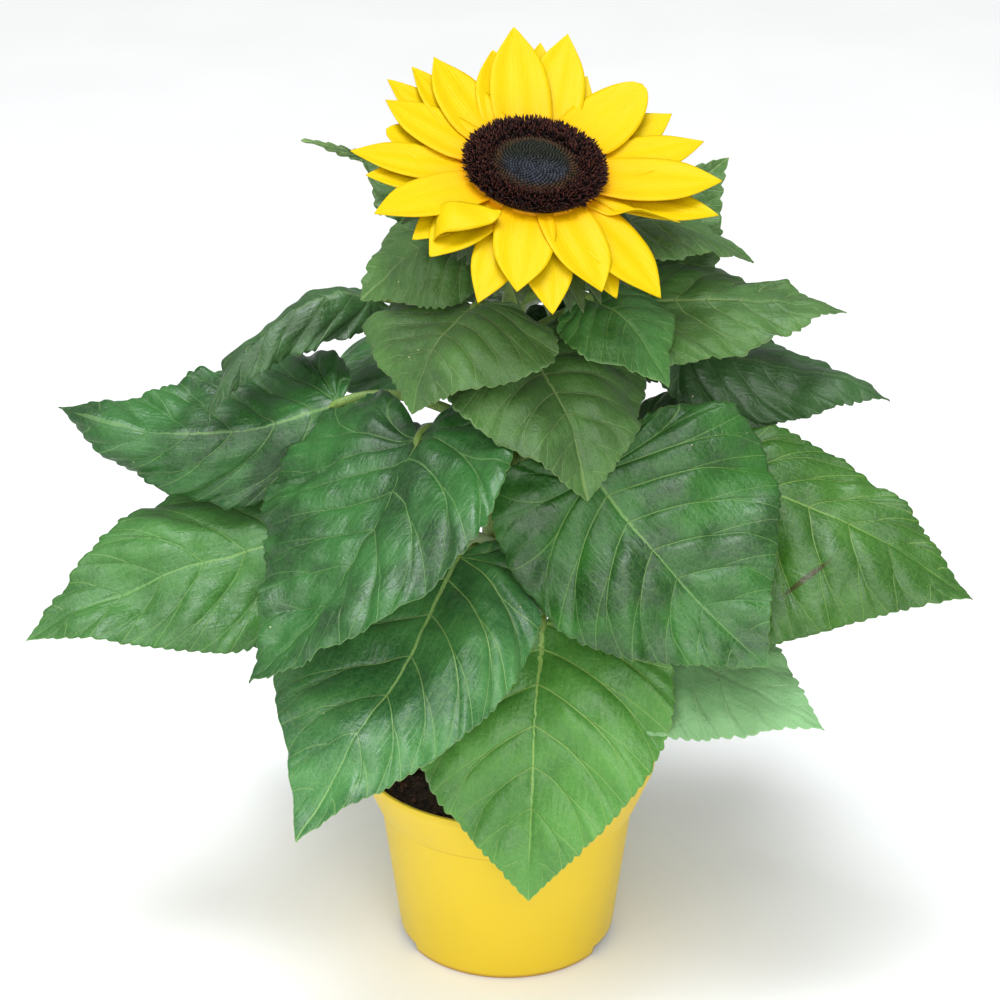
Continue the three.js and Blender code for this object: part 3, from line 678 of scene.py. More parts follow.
def stalk(name, pale, deep, sheen=0.3):
    """The skin of the stem, petioles and ribs: lengthwise lines, mottling and fine hair."""
    look = Look(name, Sheen_Weight=sheen, Sheen_Roughness=0.4, Sheen_Tint=(235, 240, 220))
    place = look.place()
    lines = look.noise(look.stretch(place, (1800, 1800, 160)), 1.0, 3, 0.6)
    mottle = look.noise(place, 70, 3, 0.6)
    colour = look.coats(deep, (look.fade(lines, 0.3, 0.7), pale),
                        (look.fade(mottle, 0.3, 0.75, 0.0, 0.6), pale))
    return look.wear(colour, look.fade(mottle, 0.2, 0.8, 0.42, 0.62), look.bump(lines, 0.15 * MM))


def petal_look():
    look = Look("petal_yellow", Specular_IOR_Level=0.12)
    flat = look.vector("flat")
    along, across, _ = look.values("place")
    lemon, golden, deep = (201, 173, 0), (212, 164, 0), (216, 146, 0)
    lines = look.noise(look.stretch(flat, (1.3, 0.04, 1.0)), 1.0, 3, 0.55)
    colour = look.coats(
        golden,
        (look.fade(along, 0.15, 0.6), lemon),
        # Deeper orange just outside the disc: painted shade where the petals overlap by the disc's edge.
        (look.fade(along, 0.26, 0.12), deep),
        (look.fade(look.noise(flat, 0.05, 2), 0.4, 0.75, 0.0, 0.35), golden),
        (look.fade(lines, 0.46, 0.7, 0.0, 0.22), golden),
        (look.fade(look.math("ABSOLUTE", across), 0.85, 1.0, 0.0, 0.15), golden),
    )
    height = look.heap(lines, (1.2, look.noise(flat, 0.2, 2)))
    return look.wear(colour, look.fade(lines, 0.3, 0.7, 0.42, 0.58), look.bump(height, 0.2 * MM))


def floret_look():
    """Florets are told apart by a point value: share of the disc's radius, tip share and a free
    number."""
    look = Look("floret_dark", Specular_IOR_Level=0.2)
    ring, tip, free = look.values("place")
    _, back, _ = look.values("flat")
    # The dome's buds are slate at the front and dark green at the back: partly their own tones, partly
    # painted light and reflection on the front half and painted shade on the back half.
    slate_painted_light = look.mix(free, (28, 31, 37), (60, 64, 74))
    green_painted_shade = look.mix(free, (22, 26, 19), (38, 42, 30))
    olive = look.mix(free, (38, 30, 18), (74, 50, 26))
    maroon = look.mix(free, (12, 5, 4), (26, 9, 8))
    tips = look.mix(free, (40, 14, 12), (96, 42, 24))
    grain = look.noise(look.place(), 2600, 2)
    colour = look.coats(
        slate_painted_light,
        # Painted light to the front of the dome, painted shade to its back
        (look.fade(back, -5.0, 4.0), green_painted_shade),
        (look.fade(ring, 0.42, 0.55), olive),
        (look.fade(ring, 0.57, 0.66), look.mix(look.fade(tip, 0.6, 1.0), maroon, tips)),
        (look.fade(grain, 0.3, 0.8, 0.0, 0.25), (14, 8, 8)),
    )
    return look.wear(colour, 0.6, look.bump(grain, 0.12 * MM))


def pot_look():
    """Satin plastic with a fine grain, and a brown line along its foot and under its collar: painted shade
    where the pot stands on the floor and under the collar's step, which under the collar also stands for
    its seam.
    """
    look = Look("pot_yellow", Specular_IOR_Level=0.4)
    place = look.place()
    _, _, height = look.split(place)
    foot = look.fade(height, 0.0028, 0.0006, 0.0, 0.7)
    collar = look.math("ABSOLUTE", look.math("SUBTRACT", height, COLLAR_FOOT_Z * MM - 0.0004))
    colour = look.coats(
        (224, 193, 36),
        (look.fade(look.noise(place, 9, 2), 0.35, 0.7), (217, 185, 30)),
        # Painted shade: brown along the foot and under the collar's step, the latter partly the collar's
        # seam
        (look.math("MAXIMUM", foot, look.fade(collar, 0.001, 0.0002, 0.0, 0.45)), (150, 96, 18)),
        (look.fade(look.noise(place, 35, 4, 0.65), 0.55, 0.8, 0.0, 0.15), (196, 160, 60)),
    )
    return look.wear(colour, 0.4, look.bump(look.noise(place, 1500, 2), 0.03 * MM))


def soil_look(name, dark, light):
    look = Look(name)
    place = look.place()
    lumps = look.noise(place, 420, 4, 0.7)
    colour = look.coats(dark, (look.fade(lumps, 0.35, 0.7), light),
                        (look.fade(look.cells(place, 260), 0.16, 0.08, 0.0, 0.5), (120, 92, 66)))
    return look.wear(colour, 0.93, look.bump(lumps, 0.5 * MM))


# Leaves

def place_of(spot):
    reach, bearing, height = spot
    return around(reach, math.radians(bearing), height)


def flower_axes():
    """The flower's right, back and out, as rows."""
    tilt, turn = math.radians(FLOWER_TILT), math.radians(FLOWER_TURN)
    out = np.array([
        math.sin(turn) * math.sin(tilt), -math.cos(turn) * math.sin(tilt), math.cos(tilt)])
    right = unit(np.cross([0, 1, 0], out))
    return np.array([right, np.cross(out, right), out])


def stem_points(count):
    foot = np.array(STEM_FOOT) - UP * STEM_SUNK
    top = FLOWER_CENTRE - FLOWER_AXES[2] * (RING_DEPTH + CALYX_DEPTH + 0.9)
    return bezier([foot, *np.array(STEM_BENDS, float), top], np.linspace(0, 1, count)[:, None])


FLOWER_AXES = flower_axes()
STEM = stem_points(160)


class Midrib:
    """The curve down the middle of a blade, with even steps."""

    def __init__(self, leaf, samples=400):
        base, tip = place_of(leaf["base"]), place_of(leaf["tip"])
        along = unit(tip - base)
        self.right = unit(np.cross(along, UP))
        middle = (base + tip) / 2 + 2 * leaf["side"] * self.right
        middle = middle + 2 * leaf["bow"] * np.cross(self.right, along)

        def curve(u):
            return (1 - u)**2 * base + 2 * u * (1 - u) * middle + u * u * tip

        self.shares = np.linspace(0, 1, samples)
        run = run_along(curve(self.shares[:, None]))
        self.length = run[-1]
        even = np.interp(self.shares * self.length, run, self.shares)[:, None]
        self.points = curve(even)
        self.tangents = unit((1 - even) * (middle - base) + even * (tip - middle))

    def at(self, share):
        return (read_between(share, self.shares, self.points),
                unit(read_between(share, self.shares, self.tangents)))


def on_blade(leaf, rib, x, y):
    """Blade points for x to the right of the midrib and y along it, and the way out of the top."""
    share = np.clip(y / rib.length, 0, 1)
    spine, tangent = rib.at(share)
    spine = spine + tangent * (y - share * rib.length)[..., None]
    flat_right = unit(rib.right - tangent * (tangent @ rib.right)[..., None])
    flat_up = np.cross(flat_right, tangent)
    roll = np.radians(leaf["roll"] + leaf["twist"] * share)[..., None]
    right = flat_right * np.cos(roll) - flat_up * np.sin(roll)
    up = flat_up * np.cos(roll) + flat_right * np.sin(roll)
    hand = (x > 0).astype(int)
    fold = np.radians(leaf["fold"])[hand]
    bend = (np.radians(leaf["curl"]) / leaf["half"])[hand]
    slope = fold - bend * np.abs(x)
    across = np.sign(x) * (np.sin(fold) - np.sin(slope)) / bend
    rise = (np.cos(slope) - np.cos(fold)) / bend
    point = spine + right * across[..., None] + up * rise[..., None]
    lift = up * np.cos(slope)[..., None] - right * (np.sign(x) * np.sin(slope))[..., None]
    return point, lift


def margin(q, lobe):
    """The margin of a half blade of width 1 and length 1, from its base at 0 to its tip at 1."""
    low = np.clip(q / MARGIN_SPLIT, 0, 1)
    high = np.clip((q - MARGIN_SPLIT) / (1 - MARGIN_SPLIT), 0, 1)
    back = [0, LOBE_BACK[0] * lobe, LOBE_BACK[1] * lobe, WIDEST]
    near = q < MARGIN_SPLIT
    return (np.where(near, bezier(LOBE_OUT, low), bezier(SHOULDER_OUT, high)),
            np.where(near, bezier(back, low), bezier(SHOULDER_ALONG, high)))


def flat_place(leaf, length, hand, q, t):
    """A half blade's point on a vein line q, at t from the midrib to the margin."""
    ex, ey = margin(q, leaf["lobe"][hand])
    start = np.clip((q - FAN) / (1 - FAN), 0, 1)**BUNCH
    bend = start + VEIN_BEND[1] * (ey - start)
    x = (2 * t * (1 - t) * VEIN_BEND[0] + t * t) * ex * leaf["half"][hand]
    y = ((1 - t)**2 * start + 2 * t * (1 - t) * bend + t * t * ey) * length
    return x * (1 - leaf["tail"] * smooth_step(y / length, *TAIL_SHARES)), y


def blade_rows(leaf, length):
    """Each row's vein interval, its share of that interval and its place on a tooth."""
    fine = np.linspace(0, 1, 400)
    run = sum(run_along(coords(*flat_place(leaf, length, hand, fine, 1.0))) for hand in (0, 1)) / 2
    interval, share, phase = [], [], []
    for i, reach in enumerate(np.diff(np.interp(VEIN_LINES, fine, run))):
        teeth = max(1, round(reach / TOOTH_PITCH))
        steps = teeth * len(TOOTH_SHAPE)
        interval += [i] * steps
        share += [j / steps for j in range(steps)]
        phase += TOOTH_SHAPE * teeth
    return np.array(interval + [len(VEIN_LINES) - 2]), np.array(share + [1.0]), np.array(phase + [0.0])


def vein_fields(interval, t, w, gap):
    """For points at a share w of a vein interval that is gap wide: how far the nearest side vein is, how
    strong it is, how deep the side veins' grooves are, and how far each kind of fork is."""
    strengths = [VEIN_STRENGTH[interval + line][:, None] for line in (0, 1)]
    faded = [strength * (1 - 0.6 * t) for strength in strengths]
    away = [w * gap, (1 - w) * gap]
    groove = sum(strength * np.exp(-(far / VEIN_HALF)**2) for strength, far in zip(faded, away))
    near, other = [np.where(strength > 0, far, NOWHERE) for strength, far in zip(strengths, away)]
    forks = []
    for start, reach, line in FORKS:
        drift = reach * np.clip((t - start) / (1 - start), 0, 1)
        far = (w - (1 - drift if line else drift)) * gap
        forks.append(np.where((strengths[line] > 0) & (t > start), far, float(NOWHERE)))
    return np.minimum(near, other), np.where(near < other, *faded), groove, forks


def half_blade(leaf, length, hand, rows, columns, seed):
    """One half's flat places, relief, ridges under the veins and point values, from the midrib out."""
    interval, share, phase = rows
    rng = np.random.default_rng(seed)
    t = np.linspace(0, 1, columns + 1)[None, :]
    f = share[:, None]
    gather = VEIN_GATHER[0] * (1 - t * t) + VEIN_GATHER[1]
    w = f - gather * np.sin(2 * np.pi * f) / (2 * np.pi)
    first, second = VEIN_LINES[interval][:, None], VEIN_LINES[interval + 1][:, None]
    q = first + (second - first) * w
    (x, y), (ax, ay), (bx, by) = [flat_place(leaf, length, hand, line, t) for line in (q, first, second)]
    tx, ty = np.gradient(x, axis=1), np.gradient(y, axis=1)
    gap = np.abs((bx - ax) * ty - (by - ay) * tx) / (np.hypot(tx, ty) + 1e-9)
    rim = np.hypot(x[:, -1:] - x, y[:, -1:] - y)
    edge = coords(x, y)[:, -1]

    # Teeth of uneven depth, none by the blade's base and tip
    along_edge = np.gradient(edge, axis=0)
    along_edge /= np.linalg.norm(along_edge, axis=1, keepdims=True) + 1e-9
    tooth = np.cumsum(phase == 0)
    uneven = rng.uniform(0.15, 1.25, tooth.max() + 1)[tooth] * leaf["teeth"][hand]
    from_base, from_tip = share + interval, len(VEIN_LINES) - 1 - share - interval
    ends = smooth_step(from_base, 0.3, 1.2) * smooth_step(from_tip, 0.05, 1)
    depth = (TOOTH_DEPTH * (phase - 0.4) * uneven * ends)[:, None] * np.exp(-(rim / TOOTH_INLAND)**2)
    x = x + along_edge[:, 1:] * depth
    y = y - along_edge[:, :1] * depth

    # Pillows between sunken veins, a groove over the midrib, and a wavy margin
    side, strength, groove, forks = vein_fields(interval, t, w, gap)
    fork_groove = sum(np.exp(-(far / FORK_HALF)**2) for far in forks)
    inland = 1 - np.exp(-(x / 6)**2)
    pillow = np.sin(np.pi * w)**0.8 * inland * np.minimum(1, gap / QUILT_WIDE) * (1 - t**8)
    quilt = QUILT[0] + (QUILT[1] - QUILT[0]) * t
    relief = quilt * (pillow - 0.4) * inland - FORK_GROOVE * fork_groove
    relief -= VEIN_GROOVE * groove * (1 - np.exp(-(x / 3.5)**2))
    relief -= RIB_GROOVE * np.exp(-(x / 1.4)**2) * (1 - 0.6 * np.clip(y / length, 0, 1))
    turn = 2 * np.pi * run_along(edge)[:, None] / WAVE_LENGTH
    start, other_start = rng.uniform(0, 2 * np.pi, 2)
    wave = np.sin(turn + start) + 0.4 * np.sin(2.65 * turn + other_start)
    relief += leaf["wave"][hand] * wave * t**3 * smooth_step(q, 0.02, 0.15) * smooth_step(q, 1.0, 0.8)
    return dict(x=x if hand else -x, y=y, relief=relief, ridge=VEIN_RIDGE * groove, side=side,
                strength=strength, cross=w * gap + 40 * interval[:, None], fork=forks[0],
                small_fork=forks[1], rim=rim, run=run_along(coords(x, y)),
                across=np.broadcast_to(t, x.shape))


def blade(shape, leaf, number):
    """The blade's top and rim as slot 0 and its underside as slot 1. Gives its midrib, and the points,
    ways up and shares of the line that the petiole's rib runs under."""
    rib = Midrib(leaf)
    rows = blade_rows(leaf, rib.length)
    columns = int(np.clip(round(max(leaf["half"]) / COLUMN_PITCH / 2) * 2, *COLUMN_LIMITS))
    left, right = [half_blade(leaf, rib.length, hand, rows, columns, 10 * number + hand) for hand in (0, 1)]
    at = {key: np.concatenate([left[key][:, ::-1], right[key][:, 1:]], axis=1) for key in left}
    x, y, relief = at["x"], at["y"], at["relief"]
    inland = smooth_step(np.hypot(x, y), 0, 12)
    for height, length in UNEVEN:
        relief = relief + height * ripples(x, y, length, number * 3 + length) * inland
    middle, lift = on_blade(leaf, rib, x, y)
    middle = middle + lift * relief[..., None]
    half_thick = BLADE_THICK / 2 * (1 - 0.5 * at["across"]**8)[..., None]

    # The rows that start at the base share one point. The underside has every other column.
    line = VEIN_LINES[rows[0]] + (VEIN_LINES[rows[0] + 1] - VEIN_LINES[rows[0]]) * rows[1]
    fan = line <= FAN + 1e-6
    corners = np.arange(x.size).reshape(x.shape)
    corners[0] = corners[0, columns]
    corners[-1] = corners[-1, columns]
    corners[fan, columns] = corners[0, columns]
    under = corners[:, ::2] + x.size
    rim = strip_faces(corners[:, -1], under[:, -1]) + strip_faces(under[:, 0], corners[:, 0])
    along = np.clip(y / rib.length, 0, 1)
    shape.add([middle + lift * half_thick, middle - lift * (half_thick + at["ridge"][..., None])],
              grid_faces(corners) + rim,
              flat=coords(x, y, 60.0 * number), veins=coords(at["side"], at["strength"], at["cross"]),
              forks=coords(at["fork"], at["small_fork"], at["rim"]), place=coords(along, at["run"], 0.0))
    shape.cover(grid_faces(under[:, ::-1]), 1)
    return rib, middle[~fan, columns], lift[~fan, columns], y[~fan, columns] / rib.length


def stalk_path(leaf, rib, steps=30):
    """The petiole's middle line from the stem to the blade's base."""
    root = read_between(leaf["root"], STEM[:, 2], STEM)
    base = rib.points[0]
    out = unit(unit((base - root) * [1, 1, 0]) + UP * PETIOLE_RISE)
    reach = np.linalg.norm(base - root)
    path = bezier([root, root + out * PETIOLE_HANDLES[0] * reach,
                   base - rib.tangents[0] * PETIOLE_HANDLES[1] * reach, base],
                  np.linspace(0, 1, steps)[:, None])
    return path[np.linalg.norm(path - root, axis=1) > STEM_RADIUS[1] - 2]


def petiole(shape, leaf, rib, seam, lift, share):
    """The petiole, and the rib that it runs on as, under the blade's middle."""
    line = stalk_path(leaf, rib)
    kept = (share > RIB_START) & (share < RIB_END)
    seam, lift, share = seam[kept], lift[kept], share[kept]
    rib_radius = PETIOLE_RADIUS[1] + (RIB_END_RADIUS - PETIOLE_RADIUS[1]) * (share / RIB_END)**0.8
    sunk = rib_radius * (0.4 + 1.15 * smooth_step(share, 0.01, 0.06))
    path = np.concatenate([line, seam - lift * sunk[:, None]])
    run = np.linspace(0, 1, len(line))
    radius = PETIOLE_RADIUS[0] + (PETIOLE_RADIUS[1] - PETIOLE_RADIUS[0]) * run
    radius = np.concatenate([radius * (1 + 0.45 * np.exp(-run * 12)), rib_radius])
    run = run_along(path)
    even = np.linspace(0, run[-1], round(run[-1] / STALK_STEP))
    tube(shape, read_between(even, run, path), np.interp(even, run, radius), 12, 0.06, 3, slot=2)


# Leaf colours: deep, light and vein, then the roughness and what differs from the usual
LEAF_LOOKS = {
    "matte": [(46, 80, 30), (68, 110, 44), (128, 152, 88), 0.52, dict(sheen=0.05, show=0.85)],
    "glossy": [(12, 50, 14), (42, 98, 38), (118, 156, 88), 0.42, dict(coat=0.12, show=0.58)],
    "broad": [(14, 52, 10), (40, 98, 28), (122, 160, 84), 0.46, dict(coat=0.08, show=0.6)],
    "ribbed": [(34, 84, 42), (62, 120, 58), (150, 186, 104), 0.4, dict(coat=0.2, show=0.95, rib=1.05)],
    "dusky": [(34, 66, 28), (50, 90, 42), (104, 132, 84), 0.44, dict(coat=0.1, show=0.42)],
    "fresh": [(44, 92, 34), (62, 116, 48), (136, 174, 94), 0.45, dict(coat=0.06, show=0.5)],
    # A darker copy of the fresh colours, for a leaf turned more to the lamps: painted shade. It also
    # carries the scar.
    "painted_shade_fresh": [(36, 80, 18), (54, 102, 26), (130, 160, 76), 0.46, dict(coat=0.06, show=0.65, scarred=True)],
    # A lighter copy of the fresh colours, for the lowest front leaf: painted light against the shade of the
    # leaves over it.
    "low": [(56, 114, 38), (80, 140, 54), (158, 190, 98), 0.45, dict(coat=0.08, show=0.8, rib=0.9)],
    # A pale copy, for a leaf lying under others: painted light against the shade that falls on it.
    "pale": [(100, 150, 92), (122, 170, 112), (162, 196, 140), 0.55, dict(sheen=0.2, show=0.5)],
}


def make_leaves():
    tops = {key: leaf_top("leaf_top_" + key, *plain, **habit)
            for key, (*plain, habit) in LEAF_LOOKS.items()}
    under = leaf_under("leaf_under", (96, 128, 84), (164, 182, 132))
    skin = stalk("petiole_skin", (124, 150, 66), (86, 120, 48))
    for number, leaf in enumerate(LEAVES):
        shape = Shape()
        petiole(shape, leaf, *blade(shape, leaf, number + 1))
        shape.build(leaf["name"] + "_fine", leaf["name"], [tops[leaf["look"]], under, skin])


# Flower

def on_flower(points):
    return FLOWER_CENTRE + points @ FLOWER_AXES


def sheet_shares(steps, columns):
    """Shares along a sheet from 0 to 1, and across it from -1 to 1."""
    return np.linspace(0, 1, steps + 1)[:, None], np.linspace(-1, 1, columns + 1)[None, :]


def ray_points(out, side, z, turn):
    """Points at a reach from the flower's middle, a step to the side and a height, at a turn."""
    return coords(out * math.cos(turn) + side * math.sin(turn),
                  out * math.sin(turn) - side * math.cos(turn), z)


def flower_sheet(shape, points, thick, facing=1, **values):
    """A sheet in the flower's axes that ends in one point. facing is -1 for a folded-over one."""
    lift = facing * np.cross(np.gradient(points, axis=1), np.gradient(points, axis=0))
    lift[-1] = lift[-2, points.shape[1] // 2]
    shell(shape, on_flower(points), unit(lift) @ FLOWER_AXES, thick, **values)


def petal(shape, number, turn, reach, wide, lift, layer, blunt=0.25, roll=0):
    rng = np.random.default_rng(500 + number)
    lean, sway, cup = rng.uniform(-4, 4), rng.uniform(-1.2, 1.2), rng.uniform(0.04, 0.12)
    t, u = sheet_shares(34, 14)
    out = PETAL_INNER + (reach - PETAL_INNER) * t
    sharp = 0.5 + (0.5 - 0.45 * blunt) * smooth_step(t, 0.6, 1)
    half = PETAL_FULL * wide / 2 * np.sin(np.pi * (0.12 + 0.88 * t))**sharp
    free = np.clip((out - PETAL_FREE) / (reach - PETAL_FREE), 0, 1)
    roll = np.radians(lean * free + roll * smooth_step(free, 0, 0.5))
    pleat = 0.35 * np.cos(2.4 * np.pi * u) * smooth_step(t, 0.05, 0.35) * smooth_step(t, 1.0, 0.6)
    ruffle = 0.3 * np.sin(7 * t + rng.uniform(0, 6)) * u**2 * free
    height = cup * u * u * half + pleat + ruffle
    side = sway * free**2 + u * half * np.cos(roll) - height * np.sin(roll)
    z = PETAL_BASE + layer * PETAL_LAYER + lift * free**1.3
    z = z + u * half * np.sin(roll) + height * np.cos(roll)
    flower_sheet(shape, ray_points(out, side, z, math.radians(turn)), PETAL_THICK,
                 flat=coords(u * half, out, 25.0 * number), place=coords(t, u, rng.uniform()))


def folded_petal(shape):
    """The free end of a petal that folds back over the others, with its tip by the disc."""
    t, u = sheet_shares(24, 10)
    half = FOLD_WIDE / 2 * np.sin(np.pi * (0.3 + 0.7 * t))**0.7
    run = FOLD_LENGTH * t - 3 * np.sin(np.pi * np.clip(4 * t, 0, 1))
    rise = -4.5 + 7.5 * smooth_step(t, 0, 0.25) + 1.2 * t + 1.8 * smooth_step(t, 0.85, 1)
    points = coords(FOLD_START[0] + run, FOLD_START[1] + u * half + 2 * t,
                    rise - 1.3 * u * u + 0.5 * np.sin(6 * t + 2 * u))
    flower_sheet(shape, points, PETAL_THICK, facing=-1, flat=coords(u * half, FOLD_LENGTH * t, 900.0),
                 place=coords(0.7, u + 0 * t, 0.5))


def make_petals():
    shape = Shape()
    folded_petal(shape)
    for number, row in enumerate(PETALS):
        petal(shape, number, *row)
    ring = [[0, -RING_DEPTH], [DISC_RADIUS - 2, -RING_DEPTH], [DISC_RADIUS - 1, -0.3], [0, -0.3]]
    lathe(shape, ring, RING_SEGMENTS, on_flower)
    shape.build("ray_petals_fine", "ray_petals", [petal_look()])


def disc_height(r):
    return np.interp(r / DISC_RADIUS, DISC_SHARES, DISC_HEIGHTS)


def golden(count, first, spacing):
    """Places on a golden-angle spiral: radius and turn."""
    number = np.arange(count) + first
    return spacing * np.sqrt(number), number * GOLDEN_ANGLE


def florets(shape, body, r, turn, rng, size, lean, wild):
    """Copies of a small body standing on the disc, leaning outwards."""
    count = len(r)
    spots = around(r, turn, disc_height(r) - 0.2)
    outward = around(1, turn, 0) * np.broadcast_to(lean, count)[:, None]
    direction = unit(UP + outward + rng.normal(scale=wild, size=(count, 3)))
    axes = axes_along(direction, rng) @ FLOWER_AXES
    place = coords((r / DISC_RADIUS)[:, None], body[0][:, 2], rng.uniform(size=count)[:, None])
    scatter(shape, body, on_flower(spots), axes, np.broadcast_to(size, count), place=place,
            flat=np.repeat(spots, len(body[0]), axis=0))


def make_disc():
    rng = np.random.default_rng(77)
    shape = Shape()
    face = [[r, disc_height(r)] for r in np.linspace(DISC_RADIUS - 0.5, 0, 24)]
    profile = np.array([[0, 0], [DISC_RADIUS - 2, 0], *face])
    values = np.repeat(coords(profile[:, 0] / DISC_RADIUS, 0, 0.2), DISC_SEGMENTS, axis=0)
    lathe(shape, profile, DISC_SEGMENTS, on_flower, place=values)

    # Closed buds of the dome
    r, turn = golden(int((BUD_EDGE * DISC_RADIUS / BUD_SPACING)**2), 1, BUD_SPACING)
    bud = spike(6, [[0.42, 0], [0.5, 0.35], [0.32, 0.8]])
    florets(shape, bud, r, turn, rng, size=1.35, lean=0.12, wild=0.08)

    # Open florets of the outer ring, each a tuft of points, and a fringe that leans out over its side
    first = int((FLORET_EDGE * DISC_RADIUS / FLORET_SPACING)**2)
    count = int(((DISC_RADIUS - 0.6) / FLORET_SPACING)**2) - first
    r, turn = golden(count, first, FLORET_SPACING)
    lean = 0.1 + 1.1 * ((r / DISC_RADIUS - FLORET_EDGE) / (1 - FLORET_EDGE))**2
    needle = spike(4, [[0.07, 0], [0.09, 0.3], [0.07, 0.75]])
    for _ in range(FLORET_POINTS):
        size = rng.uniform(3.0, 4.6, count)
        florets(shape, needle, r + rng.uniform(-0.7, 0.7, count), turn + rng.uniform(-0.03, 0.03, count),
                rng, size=size, lean=lean, wild=0.33)
    for lean in (0.9, 2.2):
        r = DISC_RADIUS - rng.uniform(0.7, 1.6, FRINGE)
        turn = 2 * np.pi * (np.arange(FRINGE) + rng.uniform(size=FRINGE)) / FRINGE
        florets(shape, needle, r, turn, rng, size=rng.uniform(2.6, 4.2, FRINGE), lean=lean, wild=0.3)
    shape.build("flower_disc_fine", "flower_disc", [floret_look()])


def bract(shape, number):
    row, place = divmod(number, BRACTS)
    height, reach, droop, wide = BRACT_ROWS[row]
    rng = np.random.default_rng(900 + number)
    turn = 2 * math.pi * (place + 0.5 + 0.5 * row) / BRACTS
    reach *= rng.uniform(0.93, 1.02)
    for bearing, share in BRACT_UNEVEN:
        reach *= 1 + share * max(math.cos(turn - math.radians(bearing)), 0)**12
    t, u = sheet_shares(18, 8)
    out = BRACT_INNER + (reach - BRACT_INNER) * t
    half = wide * BRACT_HALF * np.sin(np.pi * (0.25 + 0.75 * t))**0.95
    z = height + 2 * np.sin(np.pi * t) - droop * t * t + 0.9 * np.abs(u) * (1 - t)
    flower_sheet(shape, ray_points(out, u * half, z, turn), BRACT_THICK)


def make_calyx(skin):
    shape = Shape()
    top = -RING_DEPTH - 0.3
    bottom = top - CALYX_DEPTH
    neck = STEM_RADIUS[1] + 0.6
    profile = rounded([
        [0, bottom], [neck, bottom], [neck + 2.5, bottom + 5], [CALYX_RADIUS - 5, top - 5],
        [CALYX_RADIUS, top], [0, top]], [0, 0, 3, 3, 0, 0])
    lathe(shape, profile, RING_SEGMENTS, on_flower)
    for number in range(len(BRACT_ROWS) * BRACTS):
        bract(shape, number)
    shape.build("calyx_fine", "calyx", [skin])


# Stem, pot and soil

def make_stem(skin):
    shape = Shape()
    line = stem_points(120)
    line = line[line[:, 2] > STEM_FOOT[2] - STEM_SUNK / 2]
    share = np.linspace(0, 1, len(line))
    flare = np.clip(1 - (line[:, 2] - STEM_FOOT[2]) / STEM_FLARE_HEIGHT, 0, 1)
    radius = STEM_RADIUS[0] + (STEM_RADIUS[1] - STEM_RADIUS[0]) * share + STEM_FLARE * flare**2
    tube(shape, line, radius, 32, 0.02, 8, start=[0, 1, 0])
    rng = np.random.default_rng(31)
    pick = rng.integers(4, len(line) - 6, STEM_HAIRS)
    out = around(1, rng.uniform(0, 2 * np.pi, STEM_HAIRS), 0)
    along = unit(np.gradient(line, axis=0))[pick]
    out = unit(out - along * np.sum(out * along, axis=1)[:, None])
    axes = axes_along(unit(out + 0.25 * along), rng)
    scatter(shape, spike(4, [[0.07, 0], [0.04, 0.5]]), line[pick] + out * (radius[pick] - 0.15)[:, None],
            axes, rng.uniform(1.2, 2.4, STEM_HAIRS))
    shape.build("stem_fine", "stem", [skin])


def body_radius(height):
    """The outer radius of the pot's tapering body."""
    return FOOT_RADIUS + (BODY_TOP_RADIUS - FOOT_RADIUS) * height / COLLAR_FOOT_Z


def make_pot():
    shape = Shape()
    rim_foot = POT_HEIGHT - RIM_DEPTH
    over_slots = np.array([[body_radius(z), z] for z in (SLOT_TOP, SLOT_TOP + 2)])
    profile = rounded([
        [0, 0], [FOOT_RADIUS - 0.3, 0], *over_slots,
        [BODY_TOP_RADIUS, COLLAR_FOOT_Z], [COLLAR_FOOT_RADIUS, COLLAR_FOOT_Z],
        [RIM_RADIUS - 0.6, rim_foot - 1], [RIM_RADIUS, rim_foot], [RIM_RADIUS, POT_HEIGHT],
        [RIM_RADIUS - WALL, POT_HEIGHT], [RIM_RADIUS - WALL - 1, rim_foot - 1],
        [COLLAR_FOOT_RADIUS - WALL, COLLAR_FOOT_Z], [BODY_TOP_RADIUS - WALL, COLLAR_FOOT_Z - 2 * WALL],
        *(over_slots[::-1] - [WALL, 0]), [FOOT_RADIUS - WALL, FLOOR], [0, FLOOR],
    ], [0, 1.6, 0, 0, 0.35, 0.6, 0.4, 0.4, 0.6, 0.6, 0.5, 0.6, 0.6, 0, 0, 1.5, 0])
    lathe(shape, profile, POT_SEGMENTS)
    piece = shape.build("pot_fine", "pot", [pot_look()])
    cutters = []
    for bearing in DRAIN_BEARINGS:
        bpy.ops.mesh.primitive_cube_add(size=1)
        cutter = bpy.context.object
        turn = math.radians(bearing)
        cutter.dimensions = [side * MM for side in DRAIN_SIZE]
        cutter.rotation_euler = (0, 0, turn)
        cutter.location = (DRAIN_REACH * math.cos(turn) * MM, DRAIN_REACH * math.sin(turn) * MM, 0)
        cut = piece.modifiers.new("slot", "BOOLEAN")
        cut.operation = "DIFFERENCE"
        cut.object = cutter
        cutters.append(cutter)
    bpy.context.view_layer.update()
    whole = piece.evaluated_get(bpy.context.evaluated_depsgraph_get())
    cut_mesh = bpy.data.meshes.new_from_object(whole)
    piece.modifiers.clear()
    piece.data = cut_mesh
    for cutter in cutters:
        bpy.data.objects.remove(cutter)


def soil_limit(height):
    """How far out the soil reaches inside the pot's wall."""
    rise = (height - COLLAR_FOOT_Z) / (POT_HEIGHT - RIM_DEPTH - COLLAR_FOOT_Z)
    collar = COLLAR_FOOT_RADIUS + (RIM_RADIUS - 1 - COLLAR_FOOT_RADIUS) * rise
    return (body_radius(height) if height < COLLAR_FOOT_Z else collar) - WALL - SOIL_GAP


def soil_height(x, y):
    level = SOIL_TOP - 2.2 * smooth_step(np.hypot(x, y), 40, soil_limit(SOIL_TOP))
    return level + 1.1 * ripples(x, y, 9, 4) + 0.7 * ripples(x, y, 4, 5) + 0.72 * ripples(x, y, 30, 6)


